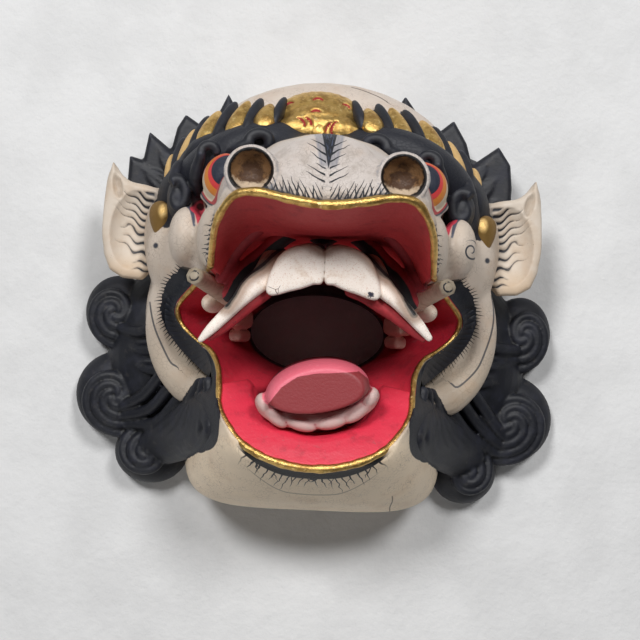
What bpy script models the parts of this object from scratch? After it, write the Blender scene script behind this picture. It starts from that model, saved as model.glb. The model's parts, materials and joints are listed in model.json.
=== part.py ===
"""Barong mask: a carved wooden guardian mask with wide-open jaws, lying on its flat back rim.

The back rim lies on Z = 0 and the muzzle points up +Z. +Y is towards the crown and X runs from ear
to ear, with the mask symmetric about X = 0. Places are written in millimetres and scaled by MM.

The head is carved like clay: rough masses are joined and smoothed, the mouth, the nostrils and the
hollow back are cut out, the crisp carving is laid on, and the back is sawn off flat. The two ears,
the two lower tusks and the tongue with its row of teeth are separate pieces let into the head.
"""

import math

import bmesh
import bpy
import numpy as np
from mathutils import Matrix, Vector

MM = 0.001

# Working resolution and triangle budgets.
ROUGH_VOXEL = 3.0
FINE_VOXEL = 2.4
FINE_SMOOTHING = 1
ROUGH_SMOOTHING = 6
HEAD_TRIANGLES = 6500
FIT_GAP = 0.4  # clearance round a piece that is let into the head
SAW_DEPTH = 40.0  # stock left below the back rim before it is sawn off at Z = 0
SAW_BLOCK = (600.0, 600.0, 200.0)  # the waste that the saw takes, its top at Z = 0
LAYOUT_MIDDLE_Y = 17.9  # the shapes are laid out about the mouth; this Y is the middle of the finished mask

# Mouth: the lip rim, right half, from the middle of the upper lip down to the middle of the lower lip.
MOUTH_CENTRE = (0.0, -8.0)
LIP_RIM = [
    (0, 71, 262), (22, 73.5, 261), (42, 77.5, 257), (56, 76, 252), (64.5, 67.5, 244), (70, 56.5, 232),
    (72.7, 43.5, 215), (75, 32, 194), (78, 33, 165), (84, 30, 130), (94, 20.5, 106), (104.5, 9.5, 92),
    (107.5, 2, 87), (104, -8, 85), (92.5, -19, 91), (80, -26.5, 101), (73, -38, 112), (70.7, -51, 124),
    (69, -65.5, 136), (62.5, -76.5, 146), (52, -88, 155), (36, -96.8, 162), (17, -102, 165.5),
    (0, -103.5, 166),
]
RIM_SAMPLES = 96
THROAT_HALF_WIDTH = 56.0
THROAT_TOP, THROAT_BOTTOM = 21.0, -44.0
THROAT_Z = 32.0
FLOOR_BULGE = 12.0  # the floor of the lower jaw stands this far proud of a straight funnel
VOID_TOP = 300.0  # the mouth is cut away up to here, clear above the lips
COLLAR_WALL = 15.0
LIP_HALF_THICKNESS = 3.4

# What is scooped from behind for the wearer: centre and half-axes of each hollow.
HOLLOWS = {
    "crown_hollow": ((0, 95, -6), (92, 66, 84)),
    "face_hollow": ((0, -10, -10), (112, 112, 46)),
    "chin_hollow": ((0, -94, -20), (66, 34, 100)),
}


# ---------------------------------------------------------------- helpers


def start_scene():
    for obj in list(bpy.data.objects):
        bpy.data.objects.remove(obj)


def collection(name):
    made = bpy.data.collections.new(name)
    bpy.context.scene.collection.children.link(made)
    return made


def painted(name, colour, roughness=0.6, metallic=0.0):
    material = bpy.data.materials.new(name)
    material.use_nodes = True
    surface = material.node_tree.nodes["Principled BSDF"]
    surface.inputs["Base Color"].default_value = (*colour, 1.0)
    surface.inputs["Roughness"].default_value = roughness
    surface.inputs["Metallic"].default_value = metallic
    return material


def object_of(mesh, name):
    obj = bpy.data.objects.new(name, mesh)
    bpy.context.scene.collection.objects.link(obj)
    return obj


def evaluated_copy(obj, name):
    """A new mesh object that is obj as its modifiers leave it; obj is removed."""
    graph = bpy.context.evaluated_depsgraph_get()
    mesh = bpy.data.meshes.new_from_object(obj.evaluated_get(graph))
    mesh.transform(obj.matrix_world)
    bpy.data.objects.remove(obj)
    return object_of(mesh, name)


def ball(centre, radii, turn=(0, 0, 0), segments=28, rings=16, name="ball"):
    """An ellipsoid with the given half-axes, turned by degrees about X, Y and Z."""
    bpy.ops.mesh.primitive_uv_sphere_add(segments=segments, ring_count=rings, radius=1.0)
    obj = bpy.context.object
    obj.name = name
    scale = Matrix.Diagonal((*[r * MM for r in radii], 1.0))
    spin = Matrix.Identity(4)
    for axis, angle in zip("XYZ", turn):
        spin = Matrix.Rotation(math.radians(angle), 4, axis) @ spin
    obj.data.transform(Matrix.Translation(Vector(centre) * MM) @ spin @ scale)
    return obj


def smooth_path(points, per_span=6, closed=False):
    """Points of a Catmull-Rom curve through the given rows of numbers."""
    rows = np.array(points, float)
    if closed:
        rows = np.vstack([rows[-1:], rows, rows[:2]])
    else:
        rows = np.vstack([2 * rows[0] - rows[1], rows, 2 * rows[-1] - rows[-2]])
    made = []
    for a, b, c, d in zip(rows, rows[1:], rows[2:], rows[3:]):
        for t in np.arange(per_span) / per_span:
            curved = (2 * a - 5 * b + 4 * c - d) * t**2 + (3 * b - a - 3 * c + d) * t**3
            made.append(0.5 * (2 * b + (c - a) * t + curved))
    if not closed:
        made.append(rows[-2])
    return np.array(made)


CAP_ANGLES = (0.5, 1.0, 1.45)  # radians up the half round that closes a strand


def round_ends(rows):
    """The rows (x, y, z, radius) of a strand with a half round added at each end."""
    rows = [np.array(r, float) for r in rows]
    for end, inner in ((0, 1), (-1, -2)):
        tip, radius = rows[end][:3], rows[end][3]
        away = tip - rows[inner][:3]
        away /= np.linalg.norm(away)
        cap = [np.array([*(tip + away * radius * math.sin(a)), radius * math.cos(a)]) for a in CAP_ANGLES]
        rows = cap[::-1] + rows if end == 0 else rows + cap
    return rows


def strand(rows, per_span=5, bevel=2, closed=False, stretch=(1, 1, 1), name="strand"):
    """A round-ended tube through rows of (x, y, z, radius), welded; stretch scales it about the origin."""
    path = smooth_path(rows, per_span, closed)
    path[:, 3] = np.maximum(path[:, 3], 0.2)
    if not closed:
        path = round_ends(path)
    curve = bpy.data.curves.new(name, "CURVE")
    curve.dimensions = "3D"
    curve.bevel_depth = MM
    curve.bevel_resolution = bevel
    curve.use_fill_caps = not closed
    spline = curve.splines.new("POLY")
    spline.points.add(len(path) - 1)
    spline.use_cyclic_u = closed
    for point, (x, y, z, radius) in zip(spline.points, path):
        point.co = (x * MM, y * MM, z * MM, 1.0)
        point.radius = radius
    obj = evaluated_copy(object_of(curve, name + "_curve"), name)
    work = bmesh.new()
    work.from_mesh(obj.data)
    bmesh.ops.remove_doubles(work, verts=work.verts, dist=1e-6)
    bmesh.ops.recalc_face_normals(work, faces=work.faces)
    bmesh.ops.transform(work, matrix=Matrix.Diagonal((*stretch, 1.0)), verts=work.verts)
    work.to_mesh(obj.data)
    work.free()
    return obj


def loft(rings, name="loft"):
    """A solid skinned over rings of equally many points (in mm), capped at both ends."""
    work = bmesh.new()
    made = [[work.verts.new(Vector(p) * MM) for p in ring] for ring in rings]
    for low, high in zip(made, made[1:]):
        for i in range(len(low)):
            j = (i + 1) % len(low)
            work.faces.new((low[i], low[j], high[j], high[i]))
    for ring in (made[0], made[-1]):
        middle = work.verts.new(sum((v.co for v in ring), Vector()) / len(ring))
        for i in range(len(ring)):
            work.faces.new((ring[i], ring[(i + 1) % len(ring)], middle))
    bmesh.ops.recalc_face_normals(work, faces=work.faces)
    mesh = bpy.data.meshes.new(name)
    work.to_mesh(mesh)
    work.free()
    return object_of(mesh, name)


def plate(outline, low, high, rounding, name):
    """A flat piece of the given outline between two heights, with rounded edges."""
    curve = bpy.data.curves.new(name, "CURVE")
    curve.dimensions = "2D"
    curve.fill_mode = "BOTH"
    curve.extrude = (high - low) / 2 * MM - rounding * MM
    curve.bevel_depth = rounding * MM
    curve.bevel_resolution = 2
    curve.offset = -rounding * MM
    spline = curve.splines.new("POLY")
    spline.points.add(len(outline) - 1)
    spline.use_cyclic_u = True
    for point, (x, y) in zip(spline.points, outline):
        point.co = (x * MM, y * MM, 0, 1)
    obj = evaluated_copy(object_of(curve, name + "_curve"), name)
    obj.data.transform(Matrix.Translation((0, 0, (low + high) / 2 * MM)))
    work = bmesh.new()
    work.from_mesh(obj.data)
    bmesh.ops.remove_doubles(work, verts=work.verts, dist=1e-6)
    bmesh.ops.recalc_face_normals(work, faces=work.faces)
    work.to_mesh(obj.data)
    work.free()
    return obj


def rounded_block(centre, size, rounding, turn=(0, 0, 0), name="block"):
    bpy.ops.mesh.primitive_cube_add(size=1)
    obj = bpy.context.object
    obj.name = name
    obj.data.transform(Matrix.Diagonal((*[s * MM for s in size], 1.0)))
    bevel = obj.modifiers.new("bevel", "BEVEL")
    bevel.width = rounding * MM
    bevel.segments = 3
    obj = evaluated_copy(obj, name)
    spin = Matrix.Identity(4)
    for axis, angle in zip("XYZ", turn):
        spin = Matrix.Rotation(math.radians(angle), 4, axis) @ spin
    obj.data.transform(Matrix.Translation(Vector(centre) * MM) @ spin)
    return obj


def mirrored(objects):
    """The objects and their copies across the plane X = 0."""
    copies = []
    for obj in objects:
        mesh = obj.data.copy()
        mesh.transform(Matrix.Scale(-1, 4, (1, 0, 0)))
        mesh.flip_normals()
        copies.append(object_of(mesh, obj.name + "_mirrored"))
    return list(objects) + copies


def joined(objects, name):
    """One mesh object holding all of the given ones, which are removed."""
    work = bmesh.new()
    for obj in objects:
        work.from_mesh(obj.data)
        bpy.data.objects.remove(obj)
    mesh = bpy.data.meshes.new(name)
    work.to_mesh(mesh)
    work.free()
    return object_of(mesh, name)


def melted(obj, voxel, smoothing=0):
    """obj remeshed to one skin, then smoothed."""
    remesh = obj.modifiers.new("remesh", "REMESH")
    remesh.mode = "VOXEL"
    remesh.voxel_size = voxel * MM
    if smoothing:
        smooth = obj.modifiers.new("smooth", "SMOOTH")
        smooth.factor = 0.5
        smooth.iterations = smoothing
    return evaluated_copy(obj, obj.name)


def thinned(obj, triangles):
    obj.data.calc_loop_triangles()
    decimate = obj.modifiers.new("decimate", "DECIMATE")
    decimate.ratio = min(1.0, triangles / len(obj.data.loop_triangles))
    return evaluated_copy(obj, obj.name)


def cut(obj, cutters):
    for cutter in cutters:
        boolean = obj.modifiers.new("cut_" + cutter.name, "BOOLEAN")
        boolean.operation = "DIFFERENCE"
        boolean.solver = "EXACT"
        boolean.object = cutter
    return evaluated_copy(obj, obj.name)


# ---------------------------------------------------------------- mouth


def lip_rim():
    """The closed line of the lips: RIM_SAMPLES points, evenly turned about the mouth's centre."""
    left = [(-x, y, z) for x, y, z in LIP_RIM[-2:0:-1]]
    path = smooth_path(LIP_RIM + left, 8, closed=True)
    angle = np.unwrap(np.arctan2(path[:, 1] - MOUTH_CENTRE[1], path[:, 0] - MOUTH_CENTRE[0]))
    wanted = angle[0] - np.arange(RIM_SAMPLES) * 2 * math.pi / RIM_SAMPLES
    rising = -angle
    closed_path = np.vstack([path, path[:1]])
    rising = np.append(rising, rising[0] + 2 * math.pi)
    return np.array([np.interp(-wanted, rising, closed_path[:, k]) for k in range(3)]).T


def throat_ring(rim, z=THROAT_Z, grow=0.0):
    """The oval hole at the back of the mouth, each point in the same direction as its rim point."""
    middle = (THROAT_TOP + THROAT_BOTTOM) / 2
    half_height = (THROAT_TOP - THROAT_BOTTOM) / 2 + grow
    angle = np.arctan2(rim[:, 1] - MOUTH_CENTRE[1], rim[:, 0])
    x = (THROAT_HALF_WIDTH + grow) * np.cos(angle)
    y = middle + half_height * np.sin(angle)
    return np.stack([x, y, np.full(len(x), z)], axis=1)


def lining_ring(share, grow=0.0):
    """A ring of the mouth's lining, from 0 at the throat to 1 at the lips, moved outwards by grow."""
    rim = lip_rim()
    ring = throat_ring(rim) * (1 - share) + rim * share
    floor = np.clip(-(rim[:, 1] + 30) / 60, 0, 1)
    ring[:, 1] += FLOOR_BULGE * floor * math.sin(math.pi * share)
    outward = rim[:, :2] - np.array(MOUTH_CENTRE)
    outward /= np.linalg.norm(outward, axis=1)[:, None]
    ring[:, :2] += outward * grow
    return ring


def mouth_void():
    """What the mouth and throat hold: cut from the head."""
    rim = lip_rim()
    rings = [throat_ring(rim, -SAW_DEPTH)]
    rings += [lining_ring(share) for share in (0, 0.2, 0.4, 0.6, 0.8, 1)]
    top = rim.copy()
    top[:, 2] = VOID_TOP
    return loft(rings + [top], "mouth_void")


def mouth_collar():
    """The thick funnel that the mouth is cut from."""
    rim = lip_rim()
    rings = [throat_ring(rim, -SAW_DEPTH / 2, COLLAR_WALL)]
    for share, wall in ((0, COLLAR_WALL), (0.25, COLLAR_WALL), (0.5, 14), (0.75, 12), (0.93, 9), (1, 3)):
        rings.append(lining_ring(share, wall))
    return loft(rings, "mouth_collar")


# ---------------------------------------------------------------- flesh


def skull():
    return [
        ball((0, 35, 5), (130, 150, 105), name="skull"),
        ball((0, 98, 55), (113, 88, 74), name="forehead"),
        ball((0, 55, 60), (108, 82, 62), name="face"),
    ]


def muzzle():
    bridge = [(0, 96, 228, 19), (0, 99, 200, 23), (0, 100, 165, 29), (0, 102, 125, 34)]
    wing = [(46.5, 91, 236, 17.5), (47, 89, 212, 19), (48, 85, 170, 25), (52, 80, 125, 32)]
    lip_side = [(63, 66, 232, 9), (65, 55, 215, 9), (66, 50, 185, 11), (70, 44, 150, 14), (76, 40, 110, 20)]
    lip_swell = [(0, 80, 250, 9), (22, 82, 249, 9), (42, 85, 245, 8), (57, 78, 240, 8), (66, 64, 228, 7)]
    middle = [
        strand(bridge, stretch=(1.8, 1, 1), name="nose_bridge"),
        ball((0, 97, 229), (34, 23, 24), name="nose_tip"),
        ball((0, 90, 240), (36, 17, 17), name="nose_front"),
    ]
    side = [
        strand(wing, name="nostril_wing"),
        strand(lip_side, name="lip_side"),
        strand(lip_swell, name="lip_swell"),
        ball((80, 54, 138), (10, 25, 34), name="whisker_pad"),
        ball((100, 57, 112), (14, 23, 26), name="cheek_pad"),
    ]
    return middle + mirrored(side)


def brow_and_cheeks():
    brow = [(18, 128, 118, 14), (45, 128, 122, 16), (72, 119, 118, 17), (95, 103, 100, 17), (106, 80, 90, 14)]
    return mirrored([
        strand(brow, name="brow"),
        ball((104, 48, 70), (32, 42, 32), name="cheekbone"),
        ball((124, 60, 52), (16, 42, 28), name="ear_root"),
        ball((100, 0, 40), (38, 62, 34), name="mouth_corner"),
    ])


JOWL = [
    (108, 42, 78, 10), (121, 26, 77, 10), (129, 3, 74, 8.5), (128, -20, 71, 9.5), (119, -40, 68, 12),
    (106, -53, 67, 14.5), (97, -58, 68, 14.5),
]
LEFT_JOWL_IN = 5.0  # the left ridge lies this much closer in than the right one


def jowls():
    """The pale crescent ridges that sweep from under the ears round the corners of the mouth."""
    left = [(LEFT_JOWL_IN - x, y, z, radius) for x, y, z, radius in JOWL]
    return [strand(JOWL, per_span=6, name="jowl"), strand(left, per_span=6, name="jowl_left")]


# The chin, as rounded frames from the back rim to the lip: height, half width, lowest y, squareness (2 is
# an ellipse).
CHIN_FRAMES = [
    (-20, 98, -146, 5.5), (20, 102, -149, 5.5), (45, 102, -150, 5.5), (75, 97, -147, 5), (105, 87, -137, 4),
    (130, 77, -122, 3.4), (148, 68, -111, 3.2), (158, 60, -104, 3.2),
]
CHIN_MIDDLE_Y = -70.0
CHIN_UPPER_SHARE = 0.35  # the frames reach this much less far up than down


def chin():
    """The broad apron under the lower lip."""
    turns = np.arange(48) * 2 * math.pi / 48
    rings = []
    for z, half_width, lowest, squareness in CHIN_FRAMES:
        across = np.sign(np.cos(turns)) * np.abs(np.cos(turns)) ** (2 / squareness)
        up = np.sign(np.sin(turns)) * np.abs(np.sin(turns)) ** (2 / squareness)
        up = np.where(up > 0, up * CHIN_UPPER_SHARE, up)
        x = half_width * across
        y = CHIN_MIDDLE_Y + (CHIN_MIDDLE_Y - lowest) * up
        rings.append(np.stack([x, y, np.full(len(turns), z)], axis=1))
    return [loft(rings, "chin")]


def hair_bed():
    jaw_lock = [
        (80, -58, 102, 10), (81, -76, 98, 15), (92, -92, 72, 17), (106, -102, 46, 17), (118, -110, 22, 16),
    ]
    return mirrored([
        ball((118, -30, 0), (54, 80, 40), name="hair_bed"),
        ball((112, 92, 5), (38, 48, 44), name="temple_hair"),
        strand(jaw_lock, name="jaw_lock"),
    ])


# ---------------------------------------------------------------- crisp carving

# Hair curls: centre, radii of the outline, lift of the middle, turn of the lock.
CURLS_RIGHT = [
    ((167, -5), (26, 32), 30, 1), ((158, -75), (39, 38), 32, 1), ((125, -119), (28, 28), 34, -1),
]
CURLS_LEFT = [
    ((164, -1), (28, 31), 30, 1), ((161, -68), (36, 36), 32, 1), ((132, -114), (31, 27), 34, -1),
]
CURL_TURNS = 1.6
CURL_START = -60.0  # degrees round the curl where its lock comes in
CURL_EDGE_Z = 14.0
LOCKS = [
    [(112, -5, 52, 14), (135, -22, 34, 13), (158, -26, 24, 9)],
    [(112, -62, 52, 15), (132, -84, 34, 14), (158, -96, 24, 10)],
    [(104, -70, 62, 12), (128, -54, 38, 12), (150, -44, 28, 8)],
]

# Gold leaves of the diadem, right side, from the forehead to the ear: foot, tip, half width.
LEAVES = [
    ((42, 140, 127), (35, 157, 112), 8), ((64, 134, 120), (52.5, 160.5, 103), 7.5),
    ((88, 130, 105), (76, 154.5, 88), 8), ((105.5, 110.5, 90), (97, 142, 75), 7),
    ((116.5, 100, 80), (116, 123, 68), 5.5),
]

# Outlines of the dark hair flames behind the diadem, from the ear root to the crown.
FLAMES_LEFT = [
    (-153, 90), (-158, 99), (-157, 125), (-146, 122), (-142, 145), (-124, 131), (-120, 149), (-113.5, 160),
    (-101, 152), (-87, 163), (-80, 178), (-74, 168), (-60, 130), (-110, 80),
]
FLAMES_RIGHT = [
    (150, 90), (151, 112), (149, 131), (139, 145.5), (118, 130), (113, 147), (102, 165), (90, 155),
    (74, 167), (62, 183), (56, 172), (60, 130), (110, 80),
]
FLAME_BACK, FLAME_FRONT = 26.0, 42.0


def spiral_ridge(centre, radii, lift, sense, thickness):
    """A raised strand that winds into the middle of a curl."""
    steps = 22
    rows = []
    for i in range(steps + 1):
        share = i / steps
        angle = math.radians(CURL_START) + CURL_TURNS * 2 * math.pi * share
        left = (1 - share) ** 0.85
        reach = [(radius - thickness) * left + 2 for radius in radii]
        rise = CURL_EDGE_Z + (lift - CURL_EDGE_Z) * (1 - (reach[0] / radii[0]) ** 2) ** 0.5
        x = centre[0] + reach[0] * math.cos(angle)
        y = centre[1] + sense * reach[1] * math.sin(angle)
        rows.append((x, y, rise - 1, thickness * (1 - 0.45 * share)))
    return strand(rows, per_span=2, name="spiral_ridge")


def curls_of_side(curls):
    """The curls of one side and their locks, as they lie on the right."""
    made = []
    for (x, y), radii, lift, sense in curls:
        made.append(ball((x, y, CURL_EDGE_Z - 2), (*radii, lift - CURL_EDGE_Z), name="curl_dome"))
        made.append(ball((x, y, 2), (radii[0] - 1, radii[1] - 1, CURL_EDGE_Z), name="curl_edge"))
        made.append(spiral_ridge((x, y), radii, lift, sense, 0.27 * min(radii)))
    return made + [strand(rows, name="lock") for rows in LOCKS]


def curls():
    left = curls_of_side(CURLS_LEFT)
    for obj in left:
        obj.data.transform(Matrix.Scale(-1, 4, (1, 0, 0)))
        obj.data.flip_normals()
    return curls_of_side(CURLS_RIGHT) + left


def flames():
    made = []
    for outline in (FLAMES_LEFT, FLAMES_RIGHT):
        made.append(plate(outline, FLAME_BACK, FLAME_FRONT, 5.0, "flames"))
    return made


def leaf(foot, tip, half_width, half_thickness, name="leaf"):
    """A pointed-oval cushion from foot to tip, its face turned up and outwards."""
    foot, tip = Vector(foot), Vector(tip)
    length = (tip - foot).length
    obj = ball((0, 0, 0), (half_width, length / 2, half_thickness), name=name)
    along = (tip - foot).normalized()
    middle = (foot + tip) / 2
    outward = Vector((middle.x, middle.y - 60, middle.z + 30))
    face = (outward - outward.dot(along) * along).normalized()
    side = along.cross(face)
    turn = Matrix((side, along, face)).transposed().to_4x4()
    obj.data.transform(Matrix.Translation(middle * MM) @ turn)
    return obj


LEAN_AT_MIDDLE = 7.0  # how far the ornament, leaves and forelocks lean to the left at the middle line
LEAN_REACH = 130.0


def leaned(objects):
    """The objects moved to the left, most at the middle line and less towards the ears."""
    for obj in objects:
        for vertex in obj.data.vertices:
            share = min(1, abs(vertex.co.x) / (LEAN_REACH * MM))
            vertex.co.x -= LEAN_AT_MIDDLE * MM * (1 - share**3)
    return objects


def diadem():
    made = []
    for foot, tip, half_width in LEAVES:
        made.append(leaf(foot, tip, half_width, 6, "gold_leaf"))
    for (foot_a, tip_a, _), (foot_b, tip_b, _) in zip(LEAVES, LEAVES[1:]):
        foot = (Vector(foot_a) + Vector(foot_b)) / 2
        tip = (Vector(tip_a) + Vector(tip_b)) / 2
        along = (tip - foot).normalized()
        made.append(leaf(foot - along * 4, tip + along * 5, 4.5, 7, "hair_rib"))
    band = [(*(Vector(foot) + Vector((0, -3, -8))), 10) for foot, _, _ in LEAVES]
    made.append(strand(band, name="diadem_band"))
    return leaned(mirrored(made))


SCALE_RADII = (7.5, 7, 5)
SCALE_ROWS = [(0, 1, 16), (1, 2, 15), (2, 3, 13)]  # row, scales to each side of the middle one, spacing


def forehead_ornament():
    """A gilt cushion covered in overlapping scales."""
    made = [ball((0, 146, 108), (37, 26, 20), turn=(-32, 0, 0), name="ornament")]
    for row, pairs, reach in SCALE_ROWS:
        for i in range(-pairs, pairs + 1):
            x = i * reach
            y = 134 + row * 11 - abs(x) * 0.10
            z = 129 - row * 7 - abs(x) * 0.18
            made.append(ball((x, y, z), SCALE_RADII, turn=(-35, 0, 0), segments=14, rings=8, name="scale"))
    return leaned(made)


# Dark forelocks rolled over the brow, right side, each from its root into the middle of its roll.
FORELOCKS = [
    [
        (60, 122, 128, 9), (50, 131, 138, 9), (38, 130, 146, 8.5), (31, 121, 150, 7.5), (37, 114, 152, 6),
        (45, 117, 154, 4.5),
    ],
    [
        (92, 104, 118, 9), (88, 118, 128, 9.5), (77, 124, 136, 9), (66, 119, 142, 8), (66, 111, 145, 6),
        (74, 110, 147, 4.5),
    ],
    [
        (112, 100, 92, 8), (117, 92, 98, 10), (115, 80, 106, 11), (108, 72, 110, 9.5), (101, 78, 112, 7),
        (104, 87, 113, 5),
    ],
]


FORELOCK_BED = [
    (24, 127, 134, 12), (46, 125, 133, 14), (72, 117, 125, 15), (94, 103, 108, 15), (108, 86, 95, 13),
]


def forelocks():
    bed = strand(FORELOCK_BED, name="forelock_bed")
    return leaned(mirrored([bed] + [strand(rows, name="forelock") for rows in FORELOCKS]))


def eyes():
    lid = [(50, 84, 140, 4), (62, 77, 143, 4.5), (76, 78, 141, 4.5), (86, 86, 134, 4)]
    return mirrored([ball((69, 97, 136), (19.5, 20, 19.5), name="eyeball"), strand(lid, name="lower_lid")])


def ear_root_leaves():
    """The small gilt leaf at the root of each ear."""
    return mirrored([leaf((118, 58, 78), (129, 81, 80), 8, 9, "ear_leaf")])


def nostril_rims():
    turns = [i * math.pi / 8 for i in range(16)]
    ring = [(47 + 14 * math.cos(a), 90.5 + 13.5 * math.sin(a), 247 - 2 * math.cos(a), 3.4) for a in turns]
    return mirrored([strand(ring, per_span=2, closed=True, name="nostril_rim")])


def lip_band():
    ring = [(x, y, z, LIP_HALF_THICKNESS) for x, y, z in lip_rim()]
    return [strand(ring, per_span=1, closed=True, name="lip_band")]


def gum_ridges():
    right = [(34, 50, 178, 6), (48, 32, 172, 6), (62, 4, 168, 5)]
    left = [(-x, y, z, radius) for x, y, z, radius in right[::-1]]
    return [strand(left + [(0, 58, 186, 6)] + right, per_span=8, name="gum_ridge")]


def upper_teeth():
    """Two broad incisors and, to each side, a long tooth that runs on into a tusk; two molars behind."""
    long_tooth = [(34, 46, 175, 10), (41, 33, 183, 10), (50, 18, 188, 8.5), (57, 8, 190, 7)]
    tusk = [(50, 18, 185, 5.5), (60, 5, 188, 6.2), (70, -5.5, 190, 5.4), (79, -14.5, 191, 2.4)]
    made = [
        rounded_block((16.5, 36, 190), (33, 35, 19), 8, turn=(24, 0, -6), name="incisor"),
        strand(long_tooth, name="long_tooth"),
        strand(tusk, name="tusk"),
        ball((80, 9, 98), (7, 7, 20), turn=(0, 12, 0), name="outer_molar"),
        rounded_block((62, -2, 66), (14, 15, 30), 3, turn=(0, 24, 0), name="inner_molar"),
    ]
    return mirrored(made)


# ---------------------------------------------------------------- openings


def nostril_pits():
    return mirrored([ball((47, 90.5, 250), (11.5, 11, 26), name="nostril_pit")])


def hollow_back():
    """What is scooped from behind for the wearer's head."""
    return [ball(centre, radii, name=name) for name, (centre, radii) in HOLLOWS.items()]


def saw():
    """The waste below the back rim."""
    bpy.ops.mesh.primitive_cube_add(size=1)
    obj = bpy.context.object
    obj.name = "saw"
    obj.data.transform(Matrix.Diagonal((*[side * MM for side in SAW_BLOCK], 1)))
    obj.data.transform(Matrix.Translation((0, 0, -SAW_BLOCK[2] / 2 * MM)))
    return obj


def build_head():
    masses = skull() + muzzle() + brow_and_cheeks() + jowls() + chin() + hair_bed() + [mouth_collar()]
    flesh = melted(joined(masses, "mask_body"), ROUGH_VOXEL, ROUGH_SMOOTHING)
    flesh = cut(flesh, [mouth_void()])
    carving = curls() + flames() + diadem() + forehead_ornament() + forelocks() + eyes()
    carving += ear_root_leaves() + nostril_rims() + lip_band() + gum_ridges() + upper_teeth()
    head = melted(joined([flesh] + carving, "mask_body"), FINE_VOXEL, FINE_SMOOTHING)
    head = cut(head, nostril_pits() + hollow_back() + [saw()])
    return thinned(head, HEAD_TRIANGLES)


# ---------------------------------------------------------------- pieces let into the head

EAR_OUTLINE = [
    (117, 58), (120, 84), (124, 97), (137, 97), (152, 101), (160, 107), (165, 116), (168, 104), (170.5, 80),
    (171, 60), (169, 44), (164, 32), (154, 26), (139, 25), (129, 36), (122, 46),
]
EAR_BACK, EAR_FRONT = 53.0, 71.0
EAR_VOXEL = 2.5
EAR_TRIANGLES = 420


def ear():
    """A thick leaf-shaped ear with a dished face."""
    leaf_plate = plate(EAR_OUTLINE, EAR_BACK, EAR_FRONT, 5.0, "ear")
    dish = [
        ball((147, 63, 78), (20, 34, 17), turn=(0, 0, 3), name="dish"),
        ball((162, 97, 77), (6, 16, 11), turn=(0, 0, -12), name="tip_dish"),
    ]
    return thinned(cut(melted(leaf_plate, EAR_VOXEL, 1), dish), EAR_TRIANGLES)


LOWER_TUSK = [(60, 9, 84, 8), (72, 17, 118, 7.5), (83, 24, 147, 6.8), (89, 27, 162, 6)]


def lower_tusk():
    return strand(LOWER_TUSK, per_span=2, name="lower_tusk")


# The tongue: a section of half-round form, as rings of height, share of the full size, and droop.
TONGUE_RINGS = [(80, 1, 0), (142, 1, 0), (154, 0.97, 1), (162, 0.9, 2.5), (167, 0.8, 4), (170, 0.64, 6)]
TONGUE_MIDDLE = (1.0, -50.0)
TONGUE_HALF_WIDTH = 37.0
TONGUE_ABOVE, TONGUE_BELOW = 21.0, 13.0
TONGUE_TILT = 0.08  # the tongue stands a little higher on its left
TONGUE_VOXEL = 2.0
TONGUE_TRIANGLES = 800
LOWER_ARC = 42.0  # half width of the row of lower teeth
LOWER_TEETH = (-72, -36, 0, 36, 72)  # degrees round the row


def tongue():
    """A block of half-round section, its top and edges drawn in towards a flat front."""
    turns = np.arange(40) * 2 * math.pi / 40
    x = TONGUE_HALF_WIDTH * np.cos(turns)
    y = np.where(np.sin(turns) > 0, TONGUE_ABOVE, TONGUE_BELOW) * np.sin(turns)
    middle_x, middle_y = TONGUE_MIDDLE
    rings = []
    for z, size, droop in TONGUE_RINGS:
        ring_y = middle_y - droop + y * size + TONGUE_TILT * x
        rings.append(np.stack([middle_x + x * size, ring_y, np.full(len(turns), z)], axis=1))
    return loft(rings, "tongue")


def tongue_and_teeth():
    """The tongue and the lower teeth, carved as one block that sits in the lower jaw."""
    row = [tongue(), ball((0, -64, 108), (40, 24, 38), name="root")]
    turns = np.radians(np.arange(-84, 85, 14))
    arc = [(LOWER_ARC * math.sin(a), -50 - 24 * math.cos(a), 147, 6.5) for a in turns]
    row.append(strand(arc, per_span=2, name="lower_row"))
    for degrees in LOWER_TEETH:
        a = math.radians(degrees)
        place = (LOWER_ARC * math.sin(a), -50 - 26 * math.cos(a), 149)
        row.append(ball(place, (11, 7, 9), turn=(0, 0, degrees), name="lower_tooth"))
    block = melted(joined(row, "tongue_and_lower_teeth"), TONGUE_VOXEL, 1)
    return thinned(block, TONGUE_TRIANGLES)


def seat_cutter(obj):
    """A copy of obj, larger all round by the fitting gap."""
    copy = object_of(obj.data.copy(), obj.name + "_seat")
    grow = copy.modifiers.new("grow", "DISPLACE")
    grow.mid_level = 0.0
    grow.strength = FIT_GAP * MM
    return evaluated_copy(copy, copy.name)


def file_under(collection_name, objects):
    group = collection(collection_name)
    for obj in objects:
        for old in list(obj.users_collection):
            old.objects.unlink(obj)
        group.objects.link(obj)


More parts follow.
